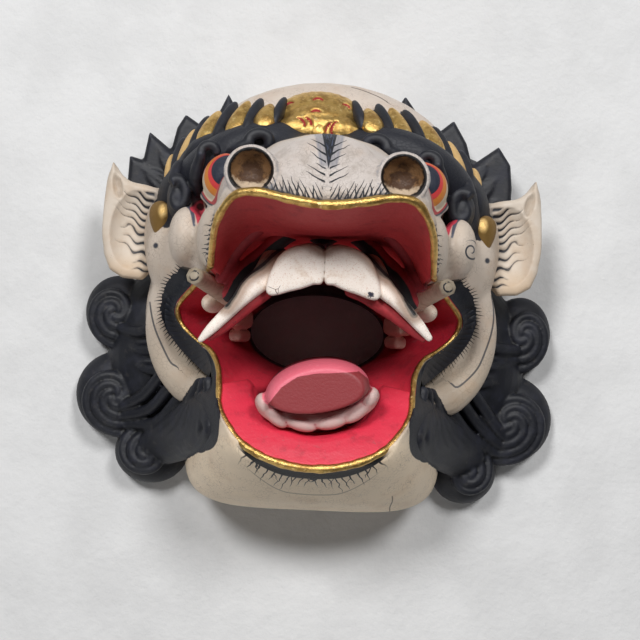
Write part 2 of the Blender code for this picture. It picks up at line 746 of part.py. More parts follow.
def main():
    start_scene()
    head = build_head()
    ear_right, ear_left = mirrored([ear()])
    tusk_right, tusk_left = mirrored([lower_tusk()])
    tongue_block = tongue_and_teeth()
    fitted = [ear_right, ear_left, tusk_right, tusk_left, tongue_block]
    head = cut(head, [seat_cutter(obj) for obj in fitted])
    cream = (0.62, 0.53, 0.44)
    tooth_cream = (0.68, 0.58, 0.48)
    pieces = [
        (head, "mask_body", painted("cream_gesso", cream)),
        (ear_right, "ear_right", painted("ear_cream_right", cream)),
        (ear_left, "ear_left", painted("ear_cream_left", cream)),
        (tusk_right, "lower_tusk_right", painted("tooth_cream_right", tooth_cream)),
        (tusk_left, "lower_tusk_left", painted("tooth_cream_left", tooth_cream)),
        (tongue_block, "tongue_and_lower_teeth", painted("tongue_red", (0.55, 0.13, 0.16))),
    ]
    for obj, name, material in pieces:
        obj.data.transform(Matrix.Translation((0, -LAYOUT_MIDDLE_Y * MM, 0)))
        obj.name = name
        obj.data.materials.clear()
        obj.data.materials.append(material)
    kept = [obj for obj, _, _ in pieces]
    cutters = [obj for obj in bpy.data.objects if obj not in kept]
    for obj in cutters:
        obj.hide_render = True
        obj.display_type = "WIRE"
    file_under("barong_mask", kept)
    file_under("cutters", cutters)


main()
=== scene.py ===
"""Looks of the barong mask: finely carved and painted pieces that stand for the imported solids.

The mask lies on its flat back with its muzzle up. Places are written in millimetres, laid out about the
mouth as the solids are, and mirrored across X = 0; placed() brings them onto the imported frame.
"""

import json
import math

import bmesh
import bpy
import numpy as np
from mathutils import Matrix, Vector
from mathutils.kdtree import KDTree

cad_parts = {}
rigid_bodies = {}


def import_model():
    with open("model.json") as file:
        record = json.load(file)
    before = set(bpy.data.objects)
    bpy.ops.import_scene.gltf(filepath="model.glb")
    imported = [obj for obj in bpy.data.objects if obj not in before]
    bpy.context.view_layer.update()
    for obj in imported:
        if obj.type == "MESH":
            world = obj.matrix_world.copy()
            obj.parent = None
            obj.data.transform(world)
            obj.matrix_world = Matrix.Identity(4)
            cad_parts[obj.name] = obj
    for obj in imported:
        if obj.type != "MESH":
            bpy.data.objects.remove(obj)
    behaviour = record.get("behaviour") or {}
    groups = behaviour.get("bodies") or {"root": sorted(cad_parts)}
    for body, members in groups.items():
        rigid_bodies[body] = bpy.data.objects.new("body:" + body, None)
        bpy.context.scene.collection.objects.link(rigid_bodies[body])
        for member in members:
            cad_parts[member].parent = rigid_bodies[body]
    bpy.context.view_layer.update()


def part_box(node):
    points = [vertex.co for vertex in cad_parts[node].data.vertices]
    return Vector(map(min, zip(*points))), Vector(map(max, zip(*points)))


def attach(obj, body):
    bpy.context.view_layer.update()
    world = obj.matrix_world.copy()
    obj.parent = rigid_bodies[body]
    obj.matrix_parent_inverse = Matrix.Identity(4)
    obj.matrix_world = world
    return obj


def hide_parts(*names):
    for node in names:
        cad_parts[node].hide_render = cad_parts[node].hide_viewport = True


for leftover in list(bpy.data.objects):
    bpy.data.objects.remove(leftover)
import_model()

MM = 0.001
CHIN_FOOT_Y = -149.94  # the lowest point of the chin in the layout
SHIFT_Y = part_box("mask_body")[0].y / MM - CHIN_FOOT_Y  # from the layout to the frame

# Fineness of the carving, and the most triangles that a piece may have.
ROUGH_VOXEL, ROUGH_SMOOTHING = 3.0, 6
FACE_VOXEL = 1.5
HAIR_VOXEL = 1.25
FINE_VOXEL, INCISOR_VOXEL = 1.0, 0.8
FACE_TRIANGLES = 190000
HAIR_TRIANGLES = 150000
SAW_DEPTH = 40.0  # how far cutters reach behind the flat back
SAW_BLOCK = (600.0, 600.0, 200.0)

MOUTH_CENTRE = (0.0, -8.0)
LIP_RIM = [
    (0, 71, 262), (22, 73.5, 261), (42, 77.5, 257), (56, 76, 252), (64.5, 67.5, 244), (70, 56.5, 232),
    (72.7, 43.5, 215), (75, 32, 194), (78, 33, 165), (84, 30, 130), (94, 20.5, 106), (104.5, 9.5, 92),
    (107.5, 2, 87), (104, -8, 85), (92.5, -19, 91), (80, -26.5, 101), (73, -38, 112), (70.7, -51, 124),
    (69, -65.5, 136), (62.5, -76.5, 146), (52, -88, 155), (36, -96.8, 162), (17, -102, 165.5),
    (0, -103.5, 166),
]
RIM_SAMPLES = 240
THROAT_HALF_WIDTH = 56.0
THROAT_TOP, THROAT_BOTTOM = 21.0, -44.0
THROAT_Z = 32.0
FLOOR_BULGE = 12.0  # how far the lower jaw's lining swells towards the tongue
VOID_TOP = 300.0  # clear of the muzzle
COLLAR_WALL = 15.0
# Hollows of the back: centre and radii.
HOLLOWS = {
    "crown_hollow": ((0, 95, -6), (92, 66, 84)),
    "face_hollow": ((0, -10, -10), (112, 112, 46)),
    "chin_hollow": ((0, -94, -20), (66, 34, 100)),
}


# ---------------------------------------------------------------- shaping tools


def object_of(data, name):
    """An object in the scene that holds a mesh, curve, light or camera."""
    obj = bpy.data.objects.new(name, data)
    bpy.context.scene.collection.objects.link(obj)
    return obj


def mesh_from(points, faces, name):
    """A mesh object from points in mm and faces given as corner indices."""
    mesh = bpy.data.meshes.new(name)
    mesh.from_pydata((np.asarray(points, float) * MM).tolist(), [], [list(map(int, f)) for f in faces])
    mesh.update()
    return object_of(mesh, name)


def points_of(obj):
    """The object's vertices in mm, as rows."""
    flat = np.empty(len(obj.data.vertices) * 3, np.float32)
    obj.data.vertices.foreach_get("co", flat)
    return flat.reshape(-1, 3).astype(float) / MM


def set_points(obj, points):
    obj.data.vertices.foreach_set("co", (points * MM).astype(np.float32).ravel())
    obj.data.update()


def normals_of(obj):
    flat = np.empty(len(obj.data.vertices) * 3, np.float32)
    obj.data.vertices.foreach_get("normal", flat)
    return flat.reshape(-1, 3).astype(float)


def evaluated_copy(obj, name):
    graph = bpy.context.evaluated_depsgraph_get()
    mesh = bpy.data.meshes.new_from_object(obj.evaluated_get(graph))
    mesh.transform(obj.matrix_world)
    bpy.data.objects.remove(obj)
    return object_of(mesh, name)


def smooth_path(points, per_span=6, closed=False):
    """Points of a Catmull-Rom curve through the given rows of numbers."""
    rows = np.array(points, float)
    if closed:
        rows = np.vstack([rows[-1:], rows, rows[:2]])
    else:
        rows = np.vstack([2 * rows[0] - rows[1], rows, 2 * rows[-1] - rows[-2]])
    made = []
    for a, b, c, d in zip(rows, rows[1:], rows[2:], rows[3:]):
        for t in np.arange(per_span) / per_span:
            curved = (2 * a - 5 * b + 4 * c - d) * t**2 + (3 * b - a - 3 * c + d) * t**3
            made.append(0.5 * (2 * b + (c - a) * t + curved))
    if not closed:
        made.append(rows[-2])
    return np.array(made)


def unit(rows):
    """The rows, each made one long."""
    return rows / np.linalg.norm(rows, axis=1)[:, None]


def full_turn(count):
    return np.arange(count) * 2 * math.pi / count


def squared_circle(turns, squareness):
    """Cosine and sine of the turns, pushed out towards the corners of a square."""
    return [np.sign(wave) * np.abs(wave) ** (2 / squareness) for wave in (np.cos(turns), np.sin(turns))]


def faced_outwards(obj, merge=0.0):
    """obj with all faces turned outwards, after vertices closer than merge, in metres, are made one."""
    work = bmesh.new()
    work.from_mesh(obj.data)
    if merge:
        bmesh.ops.remove_doubles(work, verts=work.verts, dist=merge)
    bmesh.ops.recalc_face_normals(work, faces=work.faces)
    work.to_mesh(obj.data)
    work.free()
    return obj


def loft(rings, name="loft", around=False):
    """A solid skinned over rings of equally many points, capped at both ends or closed on itself."""
    rings = [np.asarray(ring, float) for ring in rings]
    count = len(rings[0])
    faces = []
    for r in range(len(rings) if around else len(rings) - 1):
        low, high = r * count, (r + 1) % len(rings) * count
        for i in range(count):
            j = (i + 1) % count
            faces.append((low + i, low + j, high + j, high + i))
    points = np.vstack(rings)
    if not around:
        for start, ring in ((0, rings[0]), ((len(rings) - 1) * count, rings[-1])):
            middle = len(points)
            points = np.vstack([points, ring.mean(axis=0)])
            faces += [(start + i, start + (i + 1) % count, middle) for i in range(count)]
    return faced_outwards(mesh_from(points, faces, name))


THINNEST = 0.15  # half width of the thinnest strand
UPRIGHT = 0.15  # sine of the angle to Z below which a strand takes its side from the Y axis
CAP_ANGLES = (0.5, 1.0, 1.4)  # radians, of the rings of a round end


def strand(rows, per_span=5, sides=14, flat=1.0, closed=False, stretch=(1, 1, 1), facets=False, name="part"):
    """A strand through rows of (x, y, z, half width), with round ends, or flat ones if it has facets.

    flat is its thickness over its width, measured square to the XY plane's side direction.
    """
    path = smooth_path(rows, per_span, closed)
    path[:, 3] = np.maximum(path[:, 3], THINNEST)
    centres = path[:, :3]
    ahead = np.gradient(centres, axis=0)
    if closed:
        ahead = np.roll(centres, -1, axis=0) - np.roll(centres, 1, axis=0)
    ahead = unit(ahead)
    side = np.cross(np.array([0.0, 0.0, 1.0]), ahead)
    weak = np.linalg.norm(side, axis=1) < UPRIGHT
    side[weak] = np.cross(np.array([0.0, 1.0, 0.0]), ahead[weak])
    side = unit(side)
    lift = np.cross(ahead, side)
    turns = (np.arange(sides) + (0.5 if facets else 0)) * 2 * math.pi / sides

    def section(i, radius):
        return radius * (np.cos(turns)[:, None] * side[i] + flat * np.sin(turns)[:, None] * lift[i])

    rings = [centre + section(i, path[i, 3]) for i, centre in enumerate(centres)]
    if not closed and not facets:
        for end, direction in ((0, -1), (-1, 1)):
            radius = path[end, 3]
            caps = []
            for angle in CAP_ANGLES:
                reach = direction * radius * math.sin(angle) * min(1, flat * 1.2)
                caps.append(centres[end] + ahead[end] * reach + section(end, radius * math.cos(angle)))
            rings = caps[::-1] + rings if end == 0 else rings + caps
    return loft([ring * np.array(stretch) for ring in rings], name, around=closed)


def spun(turn):
    """A turn by degrees about X, then Y, then Z."""
    spin = Matrix.Identity(4)
    for axis, angle in zip("XYZ", turn):
        spin = Matrix.Rotation(math.radians(angle), 4, axis) @ spin
    return spin


def scaled_to(size):
    return Matrix.Diagonal((*[side * MM for side in size], 1.0))


def moved_to(place):
    return Matrix.Translation(Vector(place) * MM)


def ball(centre, radii, turn=(0, 0, 0), segments=32, rings=18, taper=0.0, name="ball"):
    """An ellipsoid turned by degrees about X, Y and Z; taper narrows it towards +Y before it is turned."""
    bpy.ops.mesh.primitive_uv_sphere_add(segments=segments, ring_count=rings, radius=1.0)
    obj = bpy.context.object
    obj.name = name
    if taper:
        points = points_of(obj) * MM
        points[:, 0] *= 1 - taper * points[:, 1]
        set_points(obj, points / MM)
    obj.data.transform(moved_to(centre) @ spun(turn) @ scaled_to(radii))
    return obj


def pillow(outline, edge_z, rise, depth, tilt=(0.0, 0.0), per_span=5, fullness=2.4, name="pillow"):
    """A cushion on a closed outline: it swells by rise in front of edge_z and by depth behind it."""
    edge = smooth_path(outline, per_span, closed=True)
    middle = edge.mean(axis=0)
    shares = np.sin(np.linspace(0.06, math.pi / 2, 9))
    rings = []
    for share, height in [(k, rise) for k in shares] + [(k, -depth) for k in shares[-2::-1]]:
        swell = (1 - share**fullness) ** (1 / fullness)
        flat = middle + (edge - middle) * share
        rings.append(np.column_stack([flat, np.full(len(flat), edge_z + height * swell)]))
    for ring in rings:
        ring[:, 2] += (ring[:, 0] - middle[0]) * tilt[0] + (ring[:, 1] - middle[1]) * tilt[1]
    return loft(rings, name)


def plate(outline, low, high, rounding, name):
    """A flat piece of the given outline between two heights, with rounded edges."""
    curve = bpy.data.curves.new(name, "CURVE")
    curve.dimensions = "2D"
    curve.fill_mode = "BOTH"
    curve.extrude = (high - low) / 2 * MM - rounding * MM
    curve.bevel_depth = rounding * MM
    curve.bevel_resolution = 3
    curve.offset = -rounding * MM
    spline = curve.splines.new("POLY")
    spline.points.add(len(outline) - 1)
    spline.use_cyclic_u = True
    for point, (x, y) in zip(spline.points, outline):
        point.co = (x * MM, y * MM, 0, 1)
    obj = evaluated_copy(object_of(curve, name + "_curve"), name)
    obj.data.transform(Matrix.Translation((0, 0, (low + high) / 2 * MM)))
    return faced_outwards(obj, merge=1e-6)


def rounded_block(centre, size, rounding, turn=(0, 0, 0), name="block"):
    bpy.ops.mesh.primitive_cube_add(size=1)
    obj = bpy.context.object
    obj.data.transform(scaled_to(size))
    bevel = obj.modifiers.new("bevel", "BEVEL")
    bevel.width = rounding * MM
    bevel.segments = 4
    obj = evaluated_copy(obj, name)
    obj.data.transform(moved_to(centre) @ spun(turn))
    return obj


def turned_over(objects):
    """The same objects, mirrored across X = 0."""
    for obj in objects:
        obj.data.transform(Matrix.Scale(-1, 4, (1, 0, 0)))
        obj.data.flip_normals()
    return objects


def mirrored(objects):
    """The objects and their mirror copies."""
    copies = [object_of(obj.data.copy(), obj.name + "_mirrored") for obj in objects]
    return list(objects) + turned_over(copies)


def joined(objects, name):
    work = bmesh.new()
    for obj in objects:
        work.from_mesh(obj.data)
        bpy.data.objects.remove(obj)
    mesh = bpy.data.meshes.new(name)
    work.to_mesh(mesh)
    work.free()
    return object_of(mesh, name)


def melted(obj, voxel, smoothing=0):
    """obj remeshed to one skin, then smoothed."""
    remesh = obj.modifiers.new("remesh", "REMESH")
    remesh.mode = "VOXEL"
    remesh.voxel_size = voxel * MM
    if smoothing:
        smooth = obj.modifiers.new("smooth", "SMOOTH")
        smooth.factor = 0.5
        smooth.iterations = smoothing
    return evaluated_copy(obj, obj.name)


def carved(parts, name, smoothing=1, voxel=FINE_VOXEL):
    """Finely made parts, melted into one piece."""
    return melted(joined(parts, name), voxel, smoothing)


def thinned(obj, triangles):
    obj.data.calc_loop_triangles()
    decimate = obj.modifiers.new("decimate", "DECIMATE")
    decimate.ratio = min(1.0, triangles / len(obj.data.loop_triangles))
    return evaluated_copy(obj, obj.name)


def cut(obj, cutters):
    for cutter in cutters:
        boolean = obj.modifiers.new("cut_" + cutter.name, "BOOLEAN")
        boolean.operation = "DIFFERENCE"
        boolean.solver = "EXACT"
        boolean.object = cutter
    cut_obj = evaluated_copy(obj, obj.name)
    for cutter in cutters:
        bpy.data.objects.remove(cutter)
    return cut_obj


def above_floor(obj):
    """obj with nothing below the flat back."""
    points = points_of(obj)
    points[:, 2] = np.maximum(points[:, 2], 0)
    set_points(obj, points)
    return obj


# ---------------------------------------------------------------- mouth


def lip_rim(samples=RIM_SAMPLES):
    """The closed line of the lips, evenly turned about the mouth's centre."""
    left = [(-x, y, z) for x, y, z in LIP_RIM[-2:0:-1]]
    path = smooth_path(LIP_RIM + left, 12, closed=True)
    angle = np.unwrap(np.arctan2(path[:, 1] - MOUTH_CENTRE[1], path[:, 0] - MOUTH_CENTRE[0]))
    wanted = angle[0] - np.arange(samples) * 2 * math.pi / samples
    rising = np.append(-angle, -angle[0] + 2 * math.pi)
    closed_path = np.vstack([path, path[:1]])
    return np.array([np.interp(-wanted, rising, closed_path[:, k]) for k in range(3)]).T


def throat_ring(rim, z=THROAT_Z, grow=0.0):
    middle = (THROAT_TOP + THROAT_BOTTOM) / 2
    half_height = (THROAT_TOP - THROAT_BOTTOM) / 2 + grow
    angle = np.arctan2(rim[:, 1] - MOUTH_CENTRE[1], rim[:, 0])
    x = (THROAT_HALF_WIDTH + grow) * np.cos(angle)
    y = middle + half_height * np.sin(angle)
    return np.stack([x, y, np.full(len(x), z)], axis=1)


def lining_ring(share, grow=0.0):
    """A ring of the mouth's lining, from 0 at the throat to 1 at the lips, moved outwards by grow."""
    rim = lip_rim()
    ring = throat_ring(rim) * (1 - share) + rim * share
    floor = np.clip(-(rim[:, 1] + 30) / 60, 0, 1)
    ring[:, 1] += FLOOR_BULGE * floor * math.sin(math.pi * share)
    ring[:, :2] += unit(rim[:, :2] - np.array(MOUTH_CENTRE)) * grow
    return ring


def mouth_void():
    rim = lip_rim()
    rings = [throat_ring(rim, -SAW_DEPTH)]
    rings += [lining_ring(share) for share in (0, 0.2, 0.4, 0.6, 0.8, 1)]
    top = rim.copy()
    top[:, 2] = VOID_TOP
    return loft(rings + [top], "mouth_void")


def mouth_collar():
    rim = lip_rim()
    rings = [throat_ring(rim, -SAW_DEPTH / 2, COLLAR_WALL)]
    for share, wall in ((0, COLLAR_WALL), (0.25, COLLAR_WALL), (0.5, 14), (0.75, 12), (0.93, 9), (1, 3)):
        rings.append(lining_ring(share, wall))
    return loft(rings, "mouth_collar")


LINING_WALL = 2.5
LINING_PROUD = 0.8  # how far the painted lining stands in front of the cut wood
LINING_FOOT = (0.3, 10, 20, 28)  # heights of its rings in the throat


def mouth_lining():
    """The painted inside of the mouth, as a thin shell from the back of the throat to the lips."""
    shares = np.linspace(0, 1, 56)
    rim = lip_rim()
    inner = [throat_ring(rim, z, -LINING_PROUD) for z in LINING_FOOT]
    inner += [lining_ring(share, -LINING_PROUD) for share in shares]
    outer = [lining_ring(share, LINING_WALL) for share in shares[::-1]]
    outer += [throat_ring(rim, z, LINING_WALL) for z in LINING_FOOT[::-1]]
    return loft(inner + outer, "mouth_lining", around=True)


# The flat of the lower lip: where it ends, what it reaches towards, how far it reaches, falls and is thick.
SHELF_TOP_Y = -50.0
SHELF_CENTRE = (0.0, -38.0)
SHELF_REACH, SHELF_FALL = 21.0, 15.0
SHELF_DEPTH = 12.0


def lower_lip():
    """The broad flat of the lower lip, which ends in a rounded edge round the tongue."""
    rim = lip_rim(480)
    rim = rim[rim[:, 1] < SHELF_TOP_Y]
    rim = rim[np.argsort(rim[:, 0])]
    rings = []
    for point, direction in zip(rim, unit(np.array(SHELF_CENTRE) - rim[:, :2])):
        end = min(1, abs(point[1] - SHELF_TOP_Y) / 6)
        reach = SHELF_REACH * (0.8 + 0.2 * end) + 4 * abs(point[0]) / 70
        profile = [
            (-1.5, -0.5), (3, -0.5 - SHELF_FALL * 0.1), (reach * 0.5, -SHELF_FALL * 0.42),
            (reach * 0.8, -SHELF_FALL * 0.72), (reach * 0.93, -SHELF_FALL * 0.95),
            (reach, -SHELF_FALL * 1.35), (reach * 0.97, -SHELF_FALL - SHELF_DEPTH), (-1.5, -SHELF_DEPTH),
        ]
        rings.append([(*(point[:2] + direction * across), point[2] + down) for across, down in profile])
    return carved([loft(rings, "lip_flat")], "lower_lip", 2)


BEAD_HALF_WIDTH = 2.7
BEAD_TOP = 261.2  # keeps the bead inside the solids' box


def lip_band():
    """The gilt bead along the lips, a little uneven."""
    rim = lip_rim(480)
    turn = full_turn(len(rim))
    uneven = 0.16 * np.sin(23 * turn) + 0.12 * np.sin(41 * turn + 1) + 0.1 * np.sin(67 * turn + 2)
    top = 0.68 + 0.44 * np.cos(turn) ** 2  # broader at the middle of both lips
    rows = np.column_stack([rim, (BEAD_HALF_WIDTH + uneven) * top])
    rows[:, 2] = np.minimum(rows[:, 2], BEAD_TOP)
    return strand(rows, per_span=1, sides=16, closed=True, name="gilt_lip_rim")


# ---------------------------------------------------------------- flesh

JOWL = [
    (108, 42, 78, 10), (121, 26, 77, 10), (129, 3, 74, 8.5), (128, -20, 71, 9.5), (119, -40, 68, 12),
    (106, -53, 67, 14.5), (97, -58, 68, 14.5),
]
CHIN_FRAMES = [
    (-20, 98, -146, 5.5), (20, 102, -149, 5.5), (45, 102, -150, 5.5), (75, 97, -147, 5), (105, 87, -137, 4),
    (130, 77, -122, 3.4), (148, 68, -111, 3.2), (158, 60, -104, 3.2),
]
CHIN_MIDDLE_Y = -70.0
CHIN_UPPER_SHARE = 0.35
EYE_CENTRE, EYE_RADII = (69, 97, 136), (19.5, 20, 19.5)
EYE_MIDDLE = 69.4  # of the rings painted on it
NOSTRIL = (48.0, 91.5)
NOSTRIL_PIT = ((*NOSTRIL, 253), (14.2, 13.6, 17))  # centre and radii of the hollow


def skull():
    return [
        ball((0, 35, 5), (130, 150, 105), name="skull"),
        ball((0, 98, 55), (113, 88, 74), name="forehead"),
        ball((0, 55, 60), (108, 82, 62), name="face"),
    ]


def muzzle():
    bridge = [(0, 96, 228, 19), (0, 99, 200, 23), (0, 100, 165, 29), (0, 102, 125, 34)]
    wing = [(46.5, 91, 236, 17.5), (47, 89, 212, 19), (48, 85, 170, 25), (52, 80, 125, 32)]
    lip_side = [(63, 66, 232, 9), (65, 55, 215, 9), (66, 50, 185, 11), (70, 44, 150, 14), (76, 40, 110, 20)]
    lip_swell = [(0, 80, 250, 9), (22, 82, 249, 9), (42, 85, 245, 8), (57, 78, 240, 8), (66, 64, 228, 7)]
    middle = [
        strand(bridge, stretch=(1.8, 1, 1), name="nose_bridge"),
        ball((0, 97, 229), (34, 23, 24), name="nose_tip"),
        ball((0, 90, 240), (36, 17, 17), name="nose_front"),
    ]
    side = [
        strand(wing, name="nostril_wing"),
        strand(lip_side, name="lip_side"),
        strand(lip_swell, name="lip_swell"),
        ball((80, 54, 138), (10, 25, 34), name="whisker_pad"),
        ball((100, 57, 112), (14, 23, 26), name="cheek_pad"),
    ]
    return middle + mirrored(side)


def brow_and_cheeks():
    brow = [
        (18, 128, 118, 14), (45, 128, 122, 16), (72, 119, 118, 17), (95, 103, 100, 17), (106, 80, 90, 14),
    ]
    return mirrored([
        strand(brow, name="brow"),
        ball((104, 48, 70), (32, 42, 32), name="cheekbone"),
        ball((124, 60, 52), (16, 42, 28), name="ear_root"),
        ball((100, 0, 40), (38, 62, 34), name="mouth_corner"),
    ])


LEFT_JOWL_IN = 5.0  # how much nearer the middle the left jowl lies


def jowls():
    left = [(LEFT_JOWL_IN - x, y, z, radius) for x, y, z, radius in JOWL]
    return [strand(JOWL, per_span=6, name="jowl"), strand(left, per_span=6, name="jowl_left")]


def chin():
    turns = full_turn(96)
    rings = []
    for z, half_width, lowest, squareness in CHIN_FRAMES:
        across, up = squared_circle(turns, squareness)
        up = np.where(up > 0, up * CHIN_UPPER_SHARE, up)
        y = CHIN_MIDDLE_Y + (CHIN_MIDDLE_Y - lowest) * up
        rings.append(np.stack([half_width * across, y, np.full(len(turns), z)], axis=1))
    return [loft(rings, "chin")]


def eyes():
    lid = [(50, 84, 140, 4), (62, 77, 143, 4.5), (76, 78, 141, 4.5), (86, 86, 134, 4)]
    return mirrored([
        ball(EYE_CENTRE, EYE_RADII, segments=48, rings=32, name="eyeball"),
        strand(lid, name="lower_lid"),
    ])


def nostril_rims():
    turns = np.arange(40) * math.pi / 20
    x, y = NOSTRIL
    ring = [(x + 14 * math.cos(a), y + 13.4 * math.sin(a), 247 - 2 * math.cos(a), 3.4) for a in turns]
    return mirrored([strand(ring, per_span=1, closed=True, name="nostril_rim")])


def back_cutters():
    """The hollows of the back, and the block that takes off all behind its flat face."""
    bpy.ops.mesh.primitive_cube_add(size=1)
    saw = bpy.context.object
    saw.name = "saw"
    saw.data.transform(moved_to((0, 0, -SAW_BLOCK[2] / 2)) @ scaled_to(SAW_BLOCK))
    return [ball(centre, radii, name=name) for name, (centre, radii) in HOLLOWS.items()] + [saw]


def face():
    """The pale wood of forehead, nose, cheeks, jowls and chin, hollow behind."""
    masses = skull() + muzzle() + brow_and_cheeks() + jowls() + chin() + [mouth_collar()]
    flesh = melted(joined(masses, "face"), ROUGH_VOXEL, ROUGH_SMOOTHING)
    carving = eyes() + nostril_rims() + jowls() + mirrored([
        ball((80, 53, 138), (8.5, 25, 33), name="whisker_pad"),
        ball((99.5, 57.5, 113), (13.5, 21.5, 25), name="cheek_pad"),
    ])
    flesh = cut(joined([flesh], "face"), [mouth_void()])
    flesh = melted(joined([flesh] + carving, "face"), FACE_VOXEL, 1)
    flesh = cut(flesh, mirrored([ball(*NOSTRIL_PIT, name="nostril_pit")]) + back_cutters())
    return above_floor(thinned(flesh, FACE_TRIANGLES))


# ---------------------------------------------------------------- hair

# Hair curls, as they lie on the right. A lock's strands leave the cheek side by side, between its outer
# and its inner course, run round the curl and wind into its middle.
CURLS_RIGHT = [
    dict(
        centre=(167, -5), radii=(26, 32), lift=31, sense=1, enter=-108, strands=3, width=7,
        outer=[(112, -44, 60), (138, -44, 42)], inner=[(124, -8, 60), (142, -16, 44)],
    ),
    dict(
        centre=(158, -75), radii=(39, 38), lift=33, sense=1, enter=-112, strands=4, width=7.4,
        outer=[(98, -74, 66), (120, -98, 42)], inner=[(118, -44, 62), (136, -66, 44)],
    ),
    dict(
        centre=(125, -119), radii=(28, 28), lift=35, sense=-1, enter=105, strands=3, width=7,
        outer=[(88, -52, 90), (99, -72, 74), (115, -88, 50)],
        inner=[(80, -50, 106), (78, -76, 105), (92, -100, 66)],
    ),
]
CURLS_LEFT = [dict(lock) for lock in CURLS_RIGHT]
CURLS_LEFT[0].update(centre=(164, -1), radii=(28, 31))
CURLS_LEFT[1].update(centre=(161, -68), radii=(36, 36), enter=-116)
CURLS_LEFT[2].update(centre=(132, -114), radii=(31, 27))
CURL_EDGE_Z = 14.0

# Forelocks rolled over the brow, right side: one strand each, wound round a dark hollow that sinks from
# the roll's edge to its middle. stop is the hollow's share of the roll, fill how deep its bed lies.
ROLLS = [
    dict(
        centre=(40, 125), radii=(14, 11.5), edge=148, middle=141, enter=-10, stop=0.36, fill=34, width=7.6,
        neck=0.75, outer=[(66, 112, 126), (58, 119, 140)],
    ),
    dict(
        centre=(78, 117), radii=(11.5, 11), edge=139, middle=132, enter=-20, stop=0.36, fill=34, width=7,
        neck=0.75, outer=[(88, 91, 108), (90, 102, 124)],
    ),
    dict(
        centre=(105, 86.5), radii=(11.5, 18), edge=117, middle=112, enter=60, stop=0.2, fill=18, width=8,
        neck=0.7, outer=[(100, 112, 92), (106, 109, 104)],
    ),
]
FORELOCK_BED = [
    (24, 128, 124, 8), (46, 126, 122, 10), (72, 117, 112, 11), (94, 103, 96, 12), (108, 88, 84, 12),
]
LEAN_AT_MIDDLE = 7.0  # how far ornament, leaves and forelocks lean to the left at the middle line
LEAN_REACH = 130.0

# The dark flames behind the head: outline, and root and tip of the ridges that run up each flame.
FLAMES_LEFT = [
    (-153, 90), (-158, 99), (-157, 125), (-146, 122), (-142, 145), (-124, 131), (-120, 149), (-113.5, 160),
    (-101, 152), (-87, 163), (-80, 178), (-74, 168), (-60, 130), (-110, 80),
]
FLAMES_RIGHT = [
    (150, 90), (151, 112), (149, 131), (139, 145.5), (118, 130), (113, 147), (102, 165), (90, 155),
    (74, 167), (62, 183), (56, 172), (60, 130), (110, 80),
]
FLAME_RIDGES_LEFT = [
    ((-114, 84), (-156, 101)), ((-112, 92), (-155, 121)), ((-106, 98), (-141, 140)),
    ((-98, 106), (-113, 155)), ((-84, 118), (-80, 174)),
]
FLAME_RIDGES_RIGHT = [
    ((112, 84), (147, 108)), ((108, 92), (146, 127)), ((102, 98), (138, 141)), ((94, 106), (102, 160)),
    ((80, 118), (63, 178)),
]
FLAME_BACK, FLAME_FRONT = 26.0, 42.0


def lean(points):
    """How far to the left each point leans: most at the middle line and less towards the ears."""
    return LEAN_AT_MIDDLE * (1 - np.clip(np.abs(points[:, 0]) / LEAN_REACH, 0, 1) ** 3)


def leaned(objects):
    for obj in objects:
        points = points_of(obj)
        points[:, 0] -= lean(points)
        set_points(obj, points)
    return objects


def course(outer, inner, share):
    """The rows between two courses of equally many points."""
    return [tuple(np.array(a) * (1 - share) + np.array(b) * share) for a, b in zip(outer, inner)]


WINDING_STEP = 20  # degrees from row to row of a strand that winds


def whorl(lock, height):
    """The strands of a lock: side by side along its course, then winding into the middle of its curl."""
    made = []
    x, y = lock["centre"]
    radius = sum(lock["radii"]) / 2
    wide, tall = (r / radius for r in lock["radii"])
    strands, width, outer = lock.get("strands", 1), lock["width"], lock["outer"]
    for k in range(strands):
        neck = width * lock.get("neck", 0.62)
        rows = [(*p, neck) for p in course(outer, lock.get("inner", outer), k / max(1, strands - 1))]
        reach = radius - width * (k + 0.5)
        turned = 0.0
        while reach > max(width * 0.4, radius * lock.get("stop", 0)):
            angle = math.radians(lock["enter"]) + lock.get("sense", 1) * turned
            thick = width * (0.62 - 0.16 * (1 - reach / radius))
            across, up = wide * reach * math.cos(angle), tall * reach * math.sin(angle)
            rows.append((x + across, y + up, height(reach) - 1, thick))
            turned += math.radians(WINDING_STEP)
            reach -= strands * width * WINDING_STEP / 360
        if len(rows) > 3:
            made.append(strand(rows, per_span=3, name="hair_strand"))
    return made


def curls(locks):
    made = []
    for lock in locks:
        x, y = lock["centre"]
        wide, tall = lock["radii"]
        radius, lift = (wide + tall) / 2, lock["lift"]

        def height(reach):
            return CURL_EDGE_Z + (lift - CURL_EDGE_Z) * math.sqrt(max(0, 1 - (reach / radius) ** 2))

        dome = (wide - 1, tall - 1, lift - CURL_EDGE_Z)
        made.append(ball((x, y, CURL_EDGE_Z - 4), dome, segments=64, rings=32, name="curl_dome"))
        made.append(ball((x, y, 2), (wide - 1, tall - 1, CURL_EDGE_Z), segments=64, name="curl_edge"))
        made += whorl(lock, height)
    return made


def rolls():
    """The forelocks, on the dark bed that they spring from."""
    made = [strand(FORELOCK_BED, name="forelock_bed")]
    for lock in ROLLS:
        radius = sum(lock["radii"]) / 2

        def height(reach):
            return lock["middle"] + (lock["edge"] - lock["middle"]) * (reach / radius)

        x, y = lock["centre"]
        wide, tall = lock["radii"]
        made.append(ball((x, y, lock["edge"] - lock["fill"]), (wide - 1, tall - 1, 18), name="roll_bed"))
        made += whorl(lock, height)
    return made


